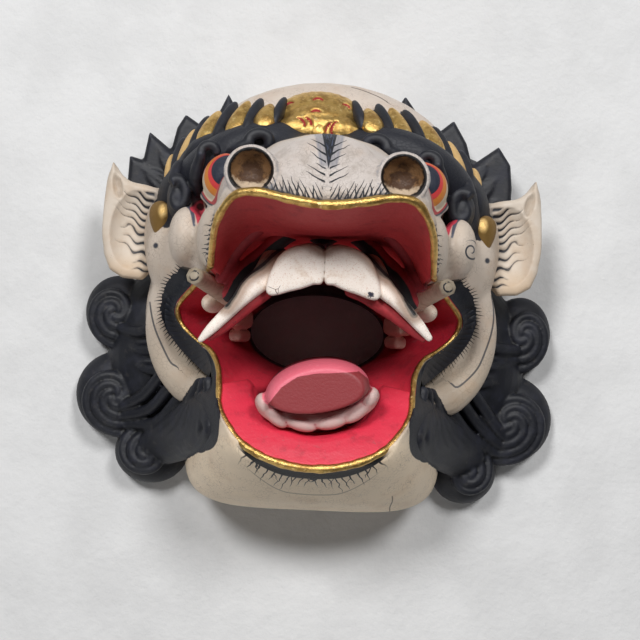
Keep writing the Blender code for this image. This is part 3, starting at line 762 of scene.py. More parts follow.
# The thick lock that falls from between jowl and lip over the corner of the jaw, right side.
JAW_INNER = [(80, -68, 104), (77, -74, 118), (74, -83, 127), (82, -96, 104), (98, -106, 66), (112, -112, 40)]
JAW_OUTER = [(94, -74, 80), (103, -80, 69), (112, -85, 54), (123, -92, 42), (130, -98, 36), (134, -104, 34)]
JAW_STRANDS = 7


def jaw_lock():
    made = []
    for k in range(JAW_STRANDS):
        share = k / (JAW_STRANDS - 1)
        rows = [(*p, 7.6 - 0.5 * i) for i, p in enumerate(course(JAW_OUTER, JAW_INNER, share))]
        made.append(strand(rows, name="jaw_strand"))
        if 0 < share < 1:
            made.append(strand([(x, y, z - 8, 11) for x, y, z, _ in rows], name="jaw_mass"))
    return made


def hair_bed():
    return jaw_lock() + [
        ball((118, -34, 4), (54, 78, 43), name="hair_bed"),
        ball((112, 92, 5), (38, 48, 44), name="temple_hair"),
        ball((104, 96, 70), (22, 32, 30), turn=(0, 0, 30), name="temple_root"),
    ]


def flames(outline, ridges):
    made = [plate(outline, FLAME_BACK, FLAME_FRONT - 1.5, 5.0, "flames")]
    for root, tip in ridges:
        root, tip = np.array(root, float), np.array(tip, float)
        along = (tip - root) / np.linalg.norm(tip - root)
        across = np.array([-along[1], along[0]])
        for side in (-1, 0, 1):
            start = root + across * side * 6.5
            middle = (root + tip) / 2 + across * side * 4.5 - along * 2
            end = tip - along * (5 + 6 * abs(side)) + across * side * 1.2
            low = FLAME_FRONT - 3
            rows = [(*start, low, 4.2), (*middle, low + 0.4, 3.4), (*end, low, 1.2)]
            made.append(strand(rows, per_span=8, sides=12, name="flame_ridge"))
    return made


# Gold leaves of the diadem, right side, from the forehead to the ear: foot, tip, half width.
LEAVES = [
    ((41.5, 136, 132), (35, 157, 112), 8), ((64.5, 130, 126), (52.5, 160.5, 103), 7.5),
    ((89, 125, 110), (76, 154.5, 88), 7.5), ((106.5, 105.5, 95), (97, 142, 75), 7),
    ((116.5, 97, 84), (116, 123, 68), 5.5),
]


def leaf(foot, tip, half_width, half_thickness, taper=0.0, name="leaf"):
    """A cushion from foot to tip, broader at the foot, its face turned up and outwards."""
    foot, tip = Vector(foot), Vector(tip)
    length = (tip - foot).length
    obj = ball((0, 0, 0), (half_width, length / 2, half_thickness), taper=taper, name=name)
    along = (tip - foot).normalized()
    middle = (foot + tip) / 2
    outward = Vector((middle.x, middle.y - 60, middle.z + 30))
    face_out = (outward - outward.dot(along) * along).normalized()
    side = along.cross(face_out)
    turn = Matrix((side, along, face_out)).transposed().to_4x4()
    obj.data.transform(Matrix.Translation(middle * MM) @ turn)
    return obj


def gold_leaves():
    made = [leaf(foot, tip, half_width, 6, 0.42, "gold_leaf") for foot, tip, half_width in LEAVES]
    made = leaned(mirrored(made))
    return made + mirrored([leaf((120.5, 54, 85), (125, 85, 87), 9.5, 8, -0.6, "ear_leaf")])


def diadem_ribs():
    made = []
    for (foot_a, tip_a, _), (foot_b, tip_b, _) in zip(LEAVES, LEAVES[1:]):
        foot = (Vector(foot_a) + Vector(foot_b)) / 2
        tip = (Vector(tip_a) + Vector(tip_b)) / 2
        along = (tip - foot).normalized()
        made.append(leaf(foot - along * 4, tip + along * 5, 4.8, 7.5, 0.1, "hair_rib"))
    foot, tip = (Vector(end) + Vector((-9, 4, -3)) for end in LEAVES[0][:2])
    made.append(leaf(foot, tip + (tip - foot).normalized() * 4, 4.2, 6, 0.1, "hair_rib"))
    band = [(*(Vector(foot) + Vector((0, -3, -8))), 10) for foot, _, _ in LEAVES]
    made.append(strand(band, name="diadem_band"))
    return made


def hair(side):
    """All the dark hair of one side: side is 1 for the right and -1 for the left."""
    upper = diadem_ribs() + rolls()
    lower = hair_bed() + curls(CURLS_RIGHT if side > 0 else CURLS_LEFT)
    if side < 0:
        upper, lower = turned_over(upper), turned_over(lower)
    made = leaned(upper) + lower
    if side > 0:
        made += flames(FLAMES_RIGHT, FLAME_RIDGES_RIGHT)
    else:
        made += flames(FLAMES_LEFT, FLAME_RIDGES_LEFT)
    mass = melted(joined(made, "hair_right" if side > 0 else "hair_left"), HAIR_VOXEL, 1)
    mass = cut(mass, back_cutters())
    return above_floor(thinned(mass, HAIR_TRIANGLES))


# ---------------------------------------------------------------- forehead ornament

ORNAMENT_X = -6.0
# Tiers of the ornament from the top: centre y, z, half width, half height, thickness, scallops.
ORNAMENT_TIERS = [
    (148, 106, 33.5, 24, 19, 13), (143, 113, 29, 19, 17, 9), (138, 118, 33, 14, 15, 7),
    (134, 124, 10, 9, 11, 0),
]
ORNAMENT_LEAN = -34.0
# Gouged crescents that show red: x and y of the middle, radius, direction it bulges towards, half spread.
GOUGES = [
    (-8, 157.5, 5, 90, 48), (-27, 154, 5, 118, 44), (11, 154, 5, 62, 44), (-9, 147, 5, 90, 44),
    (-24, 139, 7, 40, 44), (-20, 139, 8, 38, 36), (7, 137, 7.5, 165, 42), (12, 137, 9, 162, 40),
]


def ornament():
    """A gilt cushion in tiers with scalloped edges, gouged with crescents."""
    made = []
    for y, z, half_width, half_height, thickness, scallops in ORNAMENT_TIERS:
        obj = ball((0, 0, 0), (1, 1, 1), segments=96, rings=32, name="ornament_tier")
        points = points_of(obj)
        if scallops:
            turn = np.arctan2(points[:, 1], points[:, 0])
            edge = np.hypot(points[:, 0], points[:, 1]) ** 4
            points[:, :2] *= 1 + 0.1 * (edge * (np.abs(np.sin(scallops * turn)) ** 0.6 - 0.5))[:, None]
        set_points(obj, points * np.array([half_width, half_height, thickness]))
        lean = Matrix.Rotation(math.radians(ORNAMENT_LEAN), 4, "X")
        obj.data.transform(Matrix.Translation(Vector((ORNAMENT_X, y, z)) * MM) @ lean)
        made.append(obj)
    cushion = carved(made, "gilt_forehead_ornament")
    points, normals = points_of(cushion), normals_of(cushion)
    points -= normals * (2.2 * gouge_depth(points))[:, None]
    set_points(cushion, points)
    return cushion


def gouge_depth(points):
    """0 to 1: how deep each point lies in a gouged crescent, steep on its inner side."""
    depth = np.zeros(len(points))
    for x, y, radius, towards, spread in GOUGES:
        dx, dy = points[:, 0] - x, points[:, 1] - y
        around = np.degrees(np.arctan2(dy, dx))
        off = np.abs((around - towards + 180) % 360 - 180) / spread
        width = 2.6 * np.sqrt(np.clip(1 - off**2, 0, 1)) + 1e-6
        inside = (np.hypot(dx, dy) - radius) / width
        depth = np.maximum(depth, np.where((inside > -0.2) & (inside < 1), 1 - np.clip(inside, 0, 1), 0))
    return depth


# ---------------------------------------------------------------- teeth

# Outline of the right incisor, and rows of the long teeth that run on into tusks, both as they lie on the
# right: x, y, z, half width, half thickness.
TEETH_X = 1.5  # the teeth stand a little to the right
INCISOR = [
    (0.4, 48.3), (5.5, 50.9), (11.5, 51.2), (22.3, 48.2), (30.6, 42.2), (35.5, 33), (38.2, 24.3),
    (38.9, 18.6), (36.5, 15.2), (31, 15.4), (23.5, 18), (14.5, 20.5), (7, 23.5), (0.4, 26.2),
]
LONG_TOOTH_RIGHT = [
    (30, 44, 172, 8.5, 7), (36, 34, 177, 8.5, 7.5), (42, 24.5, 183, 7.2, 7), (51.5, 15.3, 188, 5.3, 6),
    (60, 6.8, 190, 4.5, 5.5), (67.5, -1.2, 191, 3.8, 4.5), (74.8, -9.6, 191, 2.2, 2.5),
]
LONG_TOOTH_LEFT = [
    (31, 45, 171, 9, 7), (40, 28, 181, 8, 7.5), (48.5, 19, 186, 7.4, 7), (56, 9.3, 189, 5.1, 6),
    (66, -1.8, 190, 4.3, 5), (74, -10.5, 191, 3.5, 4), (80.3, -17.6, 191, 1.8, 2),
]
# The red ledge under each long tooth.
LEDGE_RIGHT = [
    (20, 20.5, 177, 4), (30, 17, 178, 4.2), (40, 11.6, 180, 4.8), (50, 5.6, 182, 4.6), (59, -1.4, 184, 3.8),
    (66, -7, 186, 2.8), (71, -11, 188, 1.4),
]
LEDGE_LEFT = [
    (37, 16.5, 179, 4), (48, 7.5, 182, 4.2), (57, -1.5, 184, 3.6), (66, -10, 186, 2.8), (74, -16.5, 188, 1.4),
]
# The gum's lower edge over the right teeth, and the red fold above it.
GUM = [
    (0, 56, 184, 7), (6, 59, 183, 6.5), (14, 61, 181, 6), (24, 57.5, 178, 6), (33, 51, 174, 6.5),
    (41, 43, 171, 6.5), (49, 36.5, 168, 6.5), (57, 27, 166, 6.5), (63, 15, 164, 6),
]
FOLD = [
    (0, 68, 196, 7), (16, 72, 194, 7), (33, 69, 188, 6.5), (48, 59, 180, 6), (60, 45, 172, 5.5),
    (69, 27, 166, 5),
]


def bar(rows, name):
    """A bar with a rounded-square section through rows of (x, y, z, half width, half thickness)."""
    path = smooth_path(rows, 6)
    centres = path[:, :3]
    ahead = unit(np.gradient(centres, axis=0))
    side = unit(np.cross(ahead, np.array([0.0, 0.0, 1.0])))
    lift = np.cross(side, ahead)
    across, up = (wave[:, None] for wave in squared_circle(full_turn(28), 2.7))
    rings = []
    for centre, s, l, (wide, thick) in zip(centres, side, lift, path[:, 3:]):
        rings.append(centre + wide * across * s + thick * up * l)
    first, last = rings[0].mean(axis=0), rings[-1].mean(axis=0)
    rings.append(last + (rings[-1] - last) * 0.5 + ahead[-1] * path[-1, 3] * 0.5)
    rings.insert(0, first + (rings[0] - first) * 0.6 - ahead[0] * path[0, 3] * 0.4)
    return loft(rings, name)


def upper_teeth():
    """Two broad incisors and, to each side, a long tooth that runs on into a tusk."""
    incisor = pillow(INCISOR, 192, 6, 9, tilt=(-0.1, 0.12), fullness=6.5, name="incisor")
    row = turned_over([bar(LONG_TOOTH_LEFT, "long_tooth_left")]) + [bar(LONG_TOOTH_RIGHT, "long_tooth")]
    row = carved(row, "upper_tusks")
    front = carved(mirrored([incisor]), "upper_incisors", voxel=INCISOR_VOXEL)
    front.data.transform(moved_to((TEETH_X, 0, 0)))
    return [row, front]


def gum():
    """The red gum over the upper teeth, the fold above it and the ledges under the long teeth."""
    made = []
    for rows in (GUM, FOLD):
        left = [(-x, y, z, radius) for x, y, z, radius in rows[:0:-1]]
        made.append(strand(left + rows, per_span=6, name="ridge"))
    made += turned_over([strand(LEDGE_LEFT, name="ledge_left")]) + [strand(LEDGE_RIGHT, name="ledge")]
    return carved(made, "upper_gum", 2)


def molars():
    made = mirrored([
        ball((80, 9, 98), (7, 7.5, 19), turn=(0, 12, 0), name="outer_molar"),
        rounded_block((62, -2, 66), (14, 15, 30), 5, turn=(0, 24, 0), name="inner_molar"),
        rounded_block((61, -15, 58), (11, 10, 22), 4, turn=(0, 24, 0), name="back_molar"),
    ])
    return carved(made, "molars")


# ---------------------------------------------------------------- bands round the mouth corners

# The dark ribbed band between the gilt rim and each jowl, as it lies on the right: points on its edges.
BAND_INNER = [
    (88, 33, 112), (95, 24, 103), (104, 14, 93), (109.5, 5, 88), (109, -3, 86), (101, -13, 88),
    (91, -20.5, 94), (82, -29, 101), (77.5, -40, 109),
]
BAND_OUTER = [
    (96, 41, 104), (105, 34, 94), (115, 24, 86), (120, 12, 80), (120.5, 0, 77), (116, -13, 75),
    (106, -26, 76), (92.5, -38, 83), (80.5, -47, 96),
]
BAND_PITCH, BAND_RISE = 4.6, 0.9  # of the ribs
BAND_SINK, BAND_PROUD, BAND_DEPTH = 2.2, 1.2, 7.0  # dish of its middle, height of its edges, thickness


def lengths_along(line):
    """How far along the line each of its points lies."""
    return np.concatenate([[0], np.cumsum(np.linalg.norm(np.diff(line, axis=0), axis=1))])


def corner_band():
    """A shallow gutter round the mouth corner, ribbed across."""
    edges = [smooth_path(edge, 12) for edge in (BAND_INNER, BAND_OUTER)]
    along = lengths_along(sum(edges) / 2)
    fine = np.arange(0, along[-1], 0.5)
    inner, outer = (np.array([np.interp(fine, along, edge[:, k]) for k in range(3)]).T for edge in edges)
    rib = BAND_RISE * np.abs(np.sin(math.pi * fine / BAND_PITCH)) ** 0.7
    ends = np.clip(np.minimum(fine, fine[-1] - fine) / 8, 0, 1)
    shares = np.linspace(0, 1, 22)
    rings = []
    for a, b, rise, end in zip(inner, outer, rib, ends):
        top = a + (b - a) * shares[:, None]
        arch = np.sin(math.pi * shares)
        top[:, 2] += (rise * arch**0.5 - BAND_SINK * arch + BAND_PROUD) * end
        low = top[::-1].copy()
        low[:, 2] -= BAND_DEPTH
        rings.append(np.vstack([top, low]))
    return loft(rings, "corner_band")


def corner_bands():
    return joined(mirrored([corner_band()]), "mouth_corner_bands")


# ---------------------------------------------------------------- pieces let into the head

EAR_OUTLINE = [
    (117, 58), (120, 84), (124, 97), (137, 97), (152, 101), (160, 107), (165, 116), (168, 104), (170.5, 80),
    (171, 60), (169, 44), (164, 32), (154, 26), (139, 25), (129, 36), (122, 46),
]
EAR_BACK, EAR_FRONT = 53.0, 71.0
EAR_RIM = [(122, 90, 64, 4), (137, 94, 66, 4.5), (151, 97, 66, 4.2), (159, 103, 65, 3.5), (164, 111, 63, 2.6)]
EAR_SIDE = [
    (164, 111, 62, 2.6), (166, 102, 65, 3), (168, 80, 67, 2.6), (168.4, 60, 67, 2.6), (166, 45, 66, 2.6),
]


def ear():
    """A thick leaf-shaped ear with a dished face and a rolled upper rim."""
    body = [
        plate(EAR_OUTLINE, EAR_BACK, EAR_FRONT - 1, 4.5, "ear"),
        strand(EAR_RIM, name="upper_rim"),
        strand(EAR_SIDE, name="side_rim"),
    ]
    dish = [
        ball((146, 63, 79), (21, 35, 19), turn=(0, 0, 3), segments=48, rings=32, name="dish"),
        ball((160, 97, 77), (5, 15, 11), turn=(0, 0, -12), name="tip_dish"),
    ]
    return carved([cut(carved(body, "ear", 2), dish)], "ear")


LOWER_TUSK = [(60, 9, 84, 8), (72, 17, 118, 7.5), (83, 24, 147, 6.8), (89, 27, 162, 6)]


def lower_tusk():
    """A whittled stick of eight facets with a flat end."""
    return strand(LOWER_TUSK, per_span=4, sides=8, facets=True, name="lower_tusk")


TONGUE_RINGS = [
    (80, 1, 0), (142, 1, 0), (153, 0.99, 0.3), (160, 0.965, 0.9), (164.5, 0.935, 1.5), (167.5, 0.9, 2.1),
    (169.2, 0.865, 2.6), (169.9, 0.83, 2.9), (169.9, 0.4, 3),
]
TONGUE_MIDDLE = (1.0, -50.0)
TONGUE_HALF_WIDTH = 37.0
TONGUE_ABOVE, TONGUE_BELOW = 22.0, 14.0
TONGUE_TILT = 0.13
# The edge between the tongue's pink top and its front, which is painted darker as shade.
TONGUE_EDGE = [
    (-37, -66), (-31, -57), (-24, -47.5), (-13.6, -40), (0, -37), (16, -35.8), (29, -34.5), (38, -41),
]
# Lower teeth: degrees round their row, half width; and the row's middle, half width and rise to the right.
LOWER_TEETH = [(-80, 8), (-50, 11), (-17, 12), (16, 12), (48, 11), (80, 8)]
ROW_MIDDLE = (1.0, -54.0)
ROW_HALF_WIDTH, ROW_RISE = 38.0, 3.8


def tongue():
    turns = full_turn(96)
    x = TONGUE_HALF_WIDTH * np.cos(turns)
    y = np.where(np.sin(turns) > 0, TONGUE_ABOVE, TONGUE_BELOW) * np.sin(turns)
    middle_x, middle_y = TONGUE_MIDDLE
    rings = []
    for z, size, droop in TONGUE_RINGS:
        ring_y = middle_y - droop + y * size + TONGUE_TILT * x
        rings.append(np.stack([middle_x + x * size, ring_y, np.full(len(turns), z)], axis=1))
    return loft(rings, "tongue")


def row_place(angle, forward, z):
    """A place on the curved row of the lower teeth."""
    x, y = ROW_MIDDLE
    return x + ROW_HALF_WIDTH * math.sin(angle), y - forward * math.cos(angle) + ROW_RISE * math.sin(angle), z


def tongue_and_teeth():
    """The tongue and the scalloped lower teeth, as one block."""
    arc = [(*row_place(angle, 17, 149), 6.5) for angle in np.radians(np.arange(-84, 85, 14))]
    row = [tongue(), ball((0, -64, 108), (40, 24, 38), name="root")]
    row.append(strand(arc, per_span=3, name="lower_row"))
    for degrees, size in LOWER_TEETH:
        place = row_place(math.radians(degrees), 19.5, 151)
        row.append(ball(place, (size, 5.4, 7), turn=(0, 0, degrees * 0.8), name="lower_tooth"))
    return carved(row, "tongue_block")


def placed(obj):
    """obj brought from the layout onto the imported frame."""
    obj.data.transform(Matrix.Translation((0, SHIFT_Y * MM, 0)))
    return obj


# ---------------------------------------------------------------- where the paint goes


def keep_signal(obj, name, values):
    """Stores one number for each vertex, for the paint to read."""
    obj.data.attributes.new(name, "FLOAT", "POINT").data.foreach_set("value", np.asarray(values, np.float32))


CHUNK = 4000  # points measured at a time, to spare memory


def along_line(points, line, flat=False):
    """For each point, how far along the line its nearest place is, and how far to its left it is.

    flat measures both in the XY plane.
    """
    line = smooth_path(line, 10)
    if flat:
        points, line = points[:, :2], line[:, :2]
    lengths = lengths_along(line)
    along, off = np.empty(len(points)), np.empty(len(points))
    starts, spans = line[:-1], np.diff(line, axis=0)
    square = (spans**2).sum(axis=1)
    for first in range(0, len(points), CHUNK):
        some = points[first:first + CHUNK]
        gap = some[:, None] - starts[None]
        share = np.clip((gap * spans[None]).sum(axis=2) / square, 0, 1)
        away = np.linalg.norm(gap - share[..., None] * spans[None], axis=2)
        best = away.argmin(axis=1)
        row = np.arange(len(some))
        cross = spans[best, 0] * gap[row, best, 1] - spans[best, 1] * gap[row, best, 0]
        off[first:first + CHUNK] = away[row, best] * np.sign(cross)
        along[first:first + CHUNK] = lengths[best] + share[row, best] * np.sqrt(square[best])
    return along, off


def keep_line(obj, name, points, line, flat=False):
    """Stores how far along and how far beside a line each point lies, as name_along and name_off."""
    along, off = along_line(points, line, flat)
    keep_signal(obj, name + "_along", along)
    keep_signal(obj, name + "_off", off)


def keep_relief(obj, rounds=3):
    """Stores how sharply each place stands out (above 0) or is sunk (below 0), per mm."""
    points, normals = points_of(obj), normals_of(obj)
    flat = np.empty(len(obj.data.edges) * 2, np.int32)
    obj.data.edges.foreach_get("vertices", flat)
    a, b = flat.reshape(-1, 2).T
    count = len(points)
    degree = np.maximum(np.bincount(a, minlength=count) + np.bincount(b, minlength=count), 1)

    def around(values):
        return (np.bincount(a, values[b], count) + np.bincount(b, values[a], count)) / degree

    lengths = ((points[a] - points[b]) ** 2).sum(axis=1)
    square = (np.bincount(a, lengths, count) + np.bincount(b, lengths, count)) / degree
    mean = np.stack([around(points[:, k]) for k in range(3)], axis=1)
    relief = ((points - mean) * normals).sum(axis=1) * 2 / np.maximum(square, 0.01)
    for _ in range(rounds):
        relief = (relief + around(relief)) / 2
    keep_signal(obj, "relief", relief)


def oval_reach(points, centre, radii):
    """1 on the surface of an ellipsoid mirrored across X = 0, less inside it, more outside."""
    mirrored_points = points.copy()
    mirrored_points[:, 0] = np.abs(points[:, 0])
    return np.linalg.norm((mirrored_points - np.array(centre)) / np.array(radii), axis=1)


# Thin painted lines near the outer edge of each jowl, the crack in the chin and the scratch on the crown.
THIN_LINES = {
    "jowl_line_left": [(-130, 9), (-127, -5), (-122.8, -17), (-113, -36), (-107.6, -40.5)],
    "jowl_line_right": [
        (131.6, 26), (134, 12), (133.2, -2), (129, -18), (122.8, -33), (109.7, -46.3), (103.9, -44.2),
    ],
    "chin_crack": [(60, -127), (61, -133), (60.5, -140), (62.5, -149)],
    "crown_scratch": [(16, 179.7), (26, 177), (38, 172), (46, 167)],
}
# Brush strokes as they lie on the right: x, y, half width. The red corner between eye and cheek, the grey
# line under it, and the dark patch between the gilt rim and the lock over the corner of the jaw.
BRUSHED = {
    "red_corner": [(91.2, 88.5, 0.5), (92.8, 83.5, 2.8), (93.6, 79, 4.8), (91.2, 74, 3), (90.4, 65.5, 0.5)],
    "corner_line": [(101, 79.5, 0.9), (97.5, 77, 1.1), (95, 72, 1.1), (93, 64, 0.8)],
    "jaw_patch": [(76, -51, 5), (78, -59, 11), (80, -72, 13), (79, -87, 10.5), (85, -94, 8.5)],
}


def inside_brush(points, rows):
    """How far inside a brush stroke of varying width, drawn in the XY plane, each point lies."""
    rows = np.array(rows, float)
    along, off = along_line(points, rows[:, :2] @ np.eye(2, 3), flat=True)
    return np.interp(along, lengths_along(rows[:, :2]), rows[:, 2]) - np.abs(off)


# How far dark paint reaches from the line of the forelocks, of the leaves, and at most from hair; and the
# height below which the face's flat foot is bare.
LOCKS_REACH, LEAVES_REACH, HAIR_REACH = 28.0, 12.0, 12.0
FOOT_EDGE = 0.6


def mark_face(obj, dark_pieces):
    """Stores on the face where its painted lines and patches lie."""
    points, normals = points_of(obj), normals_of(obj)
    right = points.copy()
    right[:, 0] = np.abs(points[:, 0])
    rim = lip_rim()
    half = rim[rim[:, 0] >= -0.5]
    half = half[np.argsort(-np.arctan2(half[:, 1] - MOUTH_CENTRE[1], half[:, 0] + 0.01))][::2]
    for name, line in (("rim", half), ("jowl", BAND_OUTER)):
        keep_line(obj, name, right, line)
        keep_line(obj, name + "_flat", right, line, flat=True)
    for name, line in THIN_LINES.items():
        keep_line(obj, name, points, [(x, y, 0) for x, y in line], flat=True)
    for name, rows in BRUSHED.items():
        keep_signal(obj, name, inside_brush(right, rows))
    unleaned = points.copy()
    unleaned[:, 0] += lean(points)
    unleaned[:, 0] = np.abs(unleaned[:, 0])
    _, locks = along_line(unleaned, [row[:3] for row in FORELOCK_BED])
    _, leaves = along_line(unleaned, [(np.array(foot) + tip) / 2 for foot, tip, _ in LEAVES])
    keep_signal(obj, "brow_off", np.minimum(np.abs(locks) - LOCKS_REACH, np.abs(leaves) - LEAVES_REACH))
    bare = np.minimum.reduce([oval_reach(points, *hollow) for hollow in HOLLOWS.values()])
    inside = np.clip((1.04 - bare) * 30, 0, 1) * (normals[:, 2] < 0.3)
    keep_signal(obj, "bare_wood", np.maximum(inside, points[:, 2] < FOOT_EDGE))
    keep_signal(obj, "eye_reach", oval_reach(points, EYE_CENTRE, EYE_RADII))
    keep_signal(obj, "nostril_reach", oval_reach(points, *NOSTRIL_PIT))
    places = [place for piece in dark_pieces for place in points_of(piece)[::2]]
    near = KDTree(len(places))
    for index, place in enumerate(places):
        near.insert(place, index)
    near.balance()
    keep_signal(obj, "hair_off", [min(near.find(place)[2], HAIR_REACH) for place in points])


# Painted waves on the ear, as they lie on the right.
WAVE_PITCH, WAVE_LENGTH, WAVE_RISE, WAVE_SLOPE = 5.8, 14.5, 1.25, 0.62
WAVE_START, WAVE_END = 131.0, 162.0
WAVES_LOW, WAVES_HIGH = 31.0, 93.0
WAVE_DEPTH = 0.8


def ear_waves(points):
    """How far inside a wavy groove each point lies, in mm; below 0 outside."""
    x, y = np.abs(points[:, 0]), points[:, 1]
    rise = WAVE_RISE * np.sin((x - WAVE_START) * 2 * math.pi / WAVE_LENGTH + y * 0.09)
    climb = WAVE_SLOPE * (x - WAVE_START)
    root = y - climb * 0.7
    for _ in range(2):
        root = y - climb * np.clip((root - 38) / 18, 0.1, 1)
    phase = (root - rise) / WAVE_PITCH
    row = np.floor(phase)
    off = np.abs(phase - row - 0.5) * WAVE_PITCH
    chance = np.abs(np.sin(row * 12.9898) * 43758.5453) % 1
    end = WAVE_END - 10 * chance - 12 * np.clip((52 - y) / 16, 0, 1)
    share = (x - WAVE_START) / (end - WAVE_START)
    half = 1.35 - 1.05 * share
    ends = np.minimum(x - WAVE_START, end - x) * 0.5
    return np.minimum.reduce([half - off, ends, y - WAVES_LOW, WAVES_HIGH - y])


def carve_ear(obj):
    points = points_of(obj)
    waves = ear_waves(points)
    face_up = np.clip(normals_of(obj)[:, 2] * 3 - 0.6, 0, 1)
    points[:, 2] -= WAVE_DEPTH * np.clip(waves + 0.6, 0, 1) * face_up
    set_points(obj, points)
    keep_signal(obj, "wave", np.where(face_up > 0, waves, -3))
    return obj


GUM_EDGE = [
    (0, 48.5), (6, 52), (14, 53.5), (23, 50.5), (31, 45.5), (36, 40.5), (42, 34), (49, 29), (55, 21.5),
    (58.5, 14), (63, 7),
]


def mark_gum_edge(obj):
    points = points_of(obj)
    points[:, 0] = np.abs(points[:, 0])
    _, off = along_line(points, [(x, y, 0) for x, y in GUM_EDGE], flat=True)
    keep_signal(obj, "gum_off", np.abs(off))
    return obj


def mark_tongue(obj):
    """Stores how far outside the tongue's section each point lies, so that the teeth are painted pale."""
    points = points_of(obj)
    x, y = TONGUE_MIDDLE
    across = (points[:, 0] - x) / TONGUE_HALF_WIDTH
    up = points[:, 1] - y - TONGUE_TILT * (points[:, 0] - x)
    up /= np.where(up > 0, TONGUE_ABOVE, TONGUE_BELOW)
    keep_signal(obj, "tongue_reach", np.hypot(across, up))
    edge_x, edge_y = np.array(TONGUE_EDGE, float).T
    keep_signal(obj, "tongue_shaded_front", np.interp(points[:, 0], edge_x, edge_y) - points[:, 1])
    return obj


# ---------------------------------------------------------------- paint


def srgb(r, g, b):
    """A colour as Blender holds it, from its usual 0-255 values."""
    linear = []
    for value in (r, g, b):
        v = value / 255
        linear.append(v / 12.92 if v <= 0.04045 else ((v + 0.055) / 1.055) ** 2.4)
    return (*linear, 1.0)


class Signal:
    """A number that a material works out at each place; sums and products of signals become math nodes."""

    def __init__(self, paint, socket):
        self.paint = paint
        self.socket = socket

    def by(self, operation, *others):
        return self.paint.math(operation, self, *others)

    def __add__(self, other):
        return self.by("ADD", other)

    def __mul__(self, other):
        return self.by("MULTIPLY", other)

    def __sub__(self, other):
        return self.by("SUBTRACT", other)

    def __rsub__(self, other):
        return self.paint.math("SUBTRACT", other, self)

    def __truediv__(self, other):
        return self.by("DIVIDE", other)

    def __abs__(self):
        return self.by("ABSOLUTE")

    __radd__ = __add__
    __rmul__ = __mul__

    def rise(self, low, high):
        """0 below low, 1 above high, smooth between; low above high turns it round."""
        turned = low > high
        inputs = {0: self, 1: min(low, high), 2: max(low, high), 3: float(turned), 4: float(not turned)}
        return self.paint.made("ShaderNodeMapRange", inputs, interpolation_type="SMOOTHSTEP")


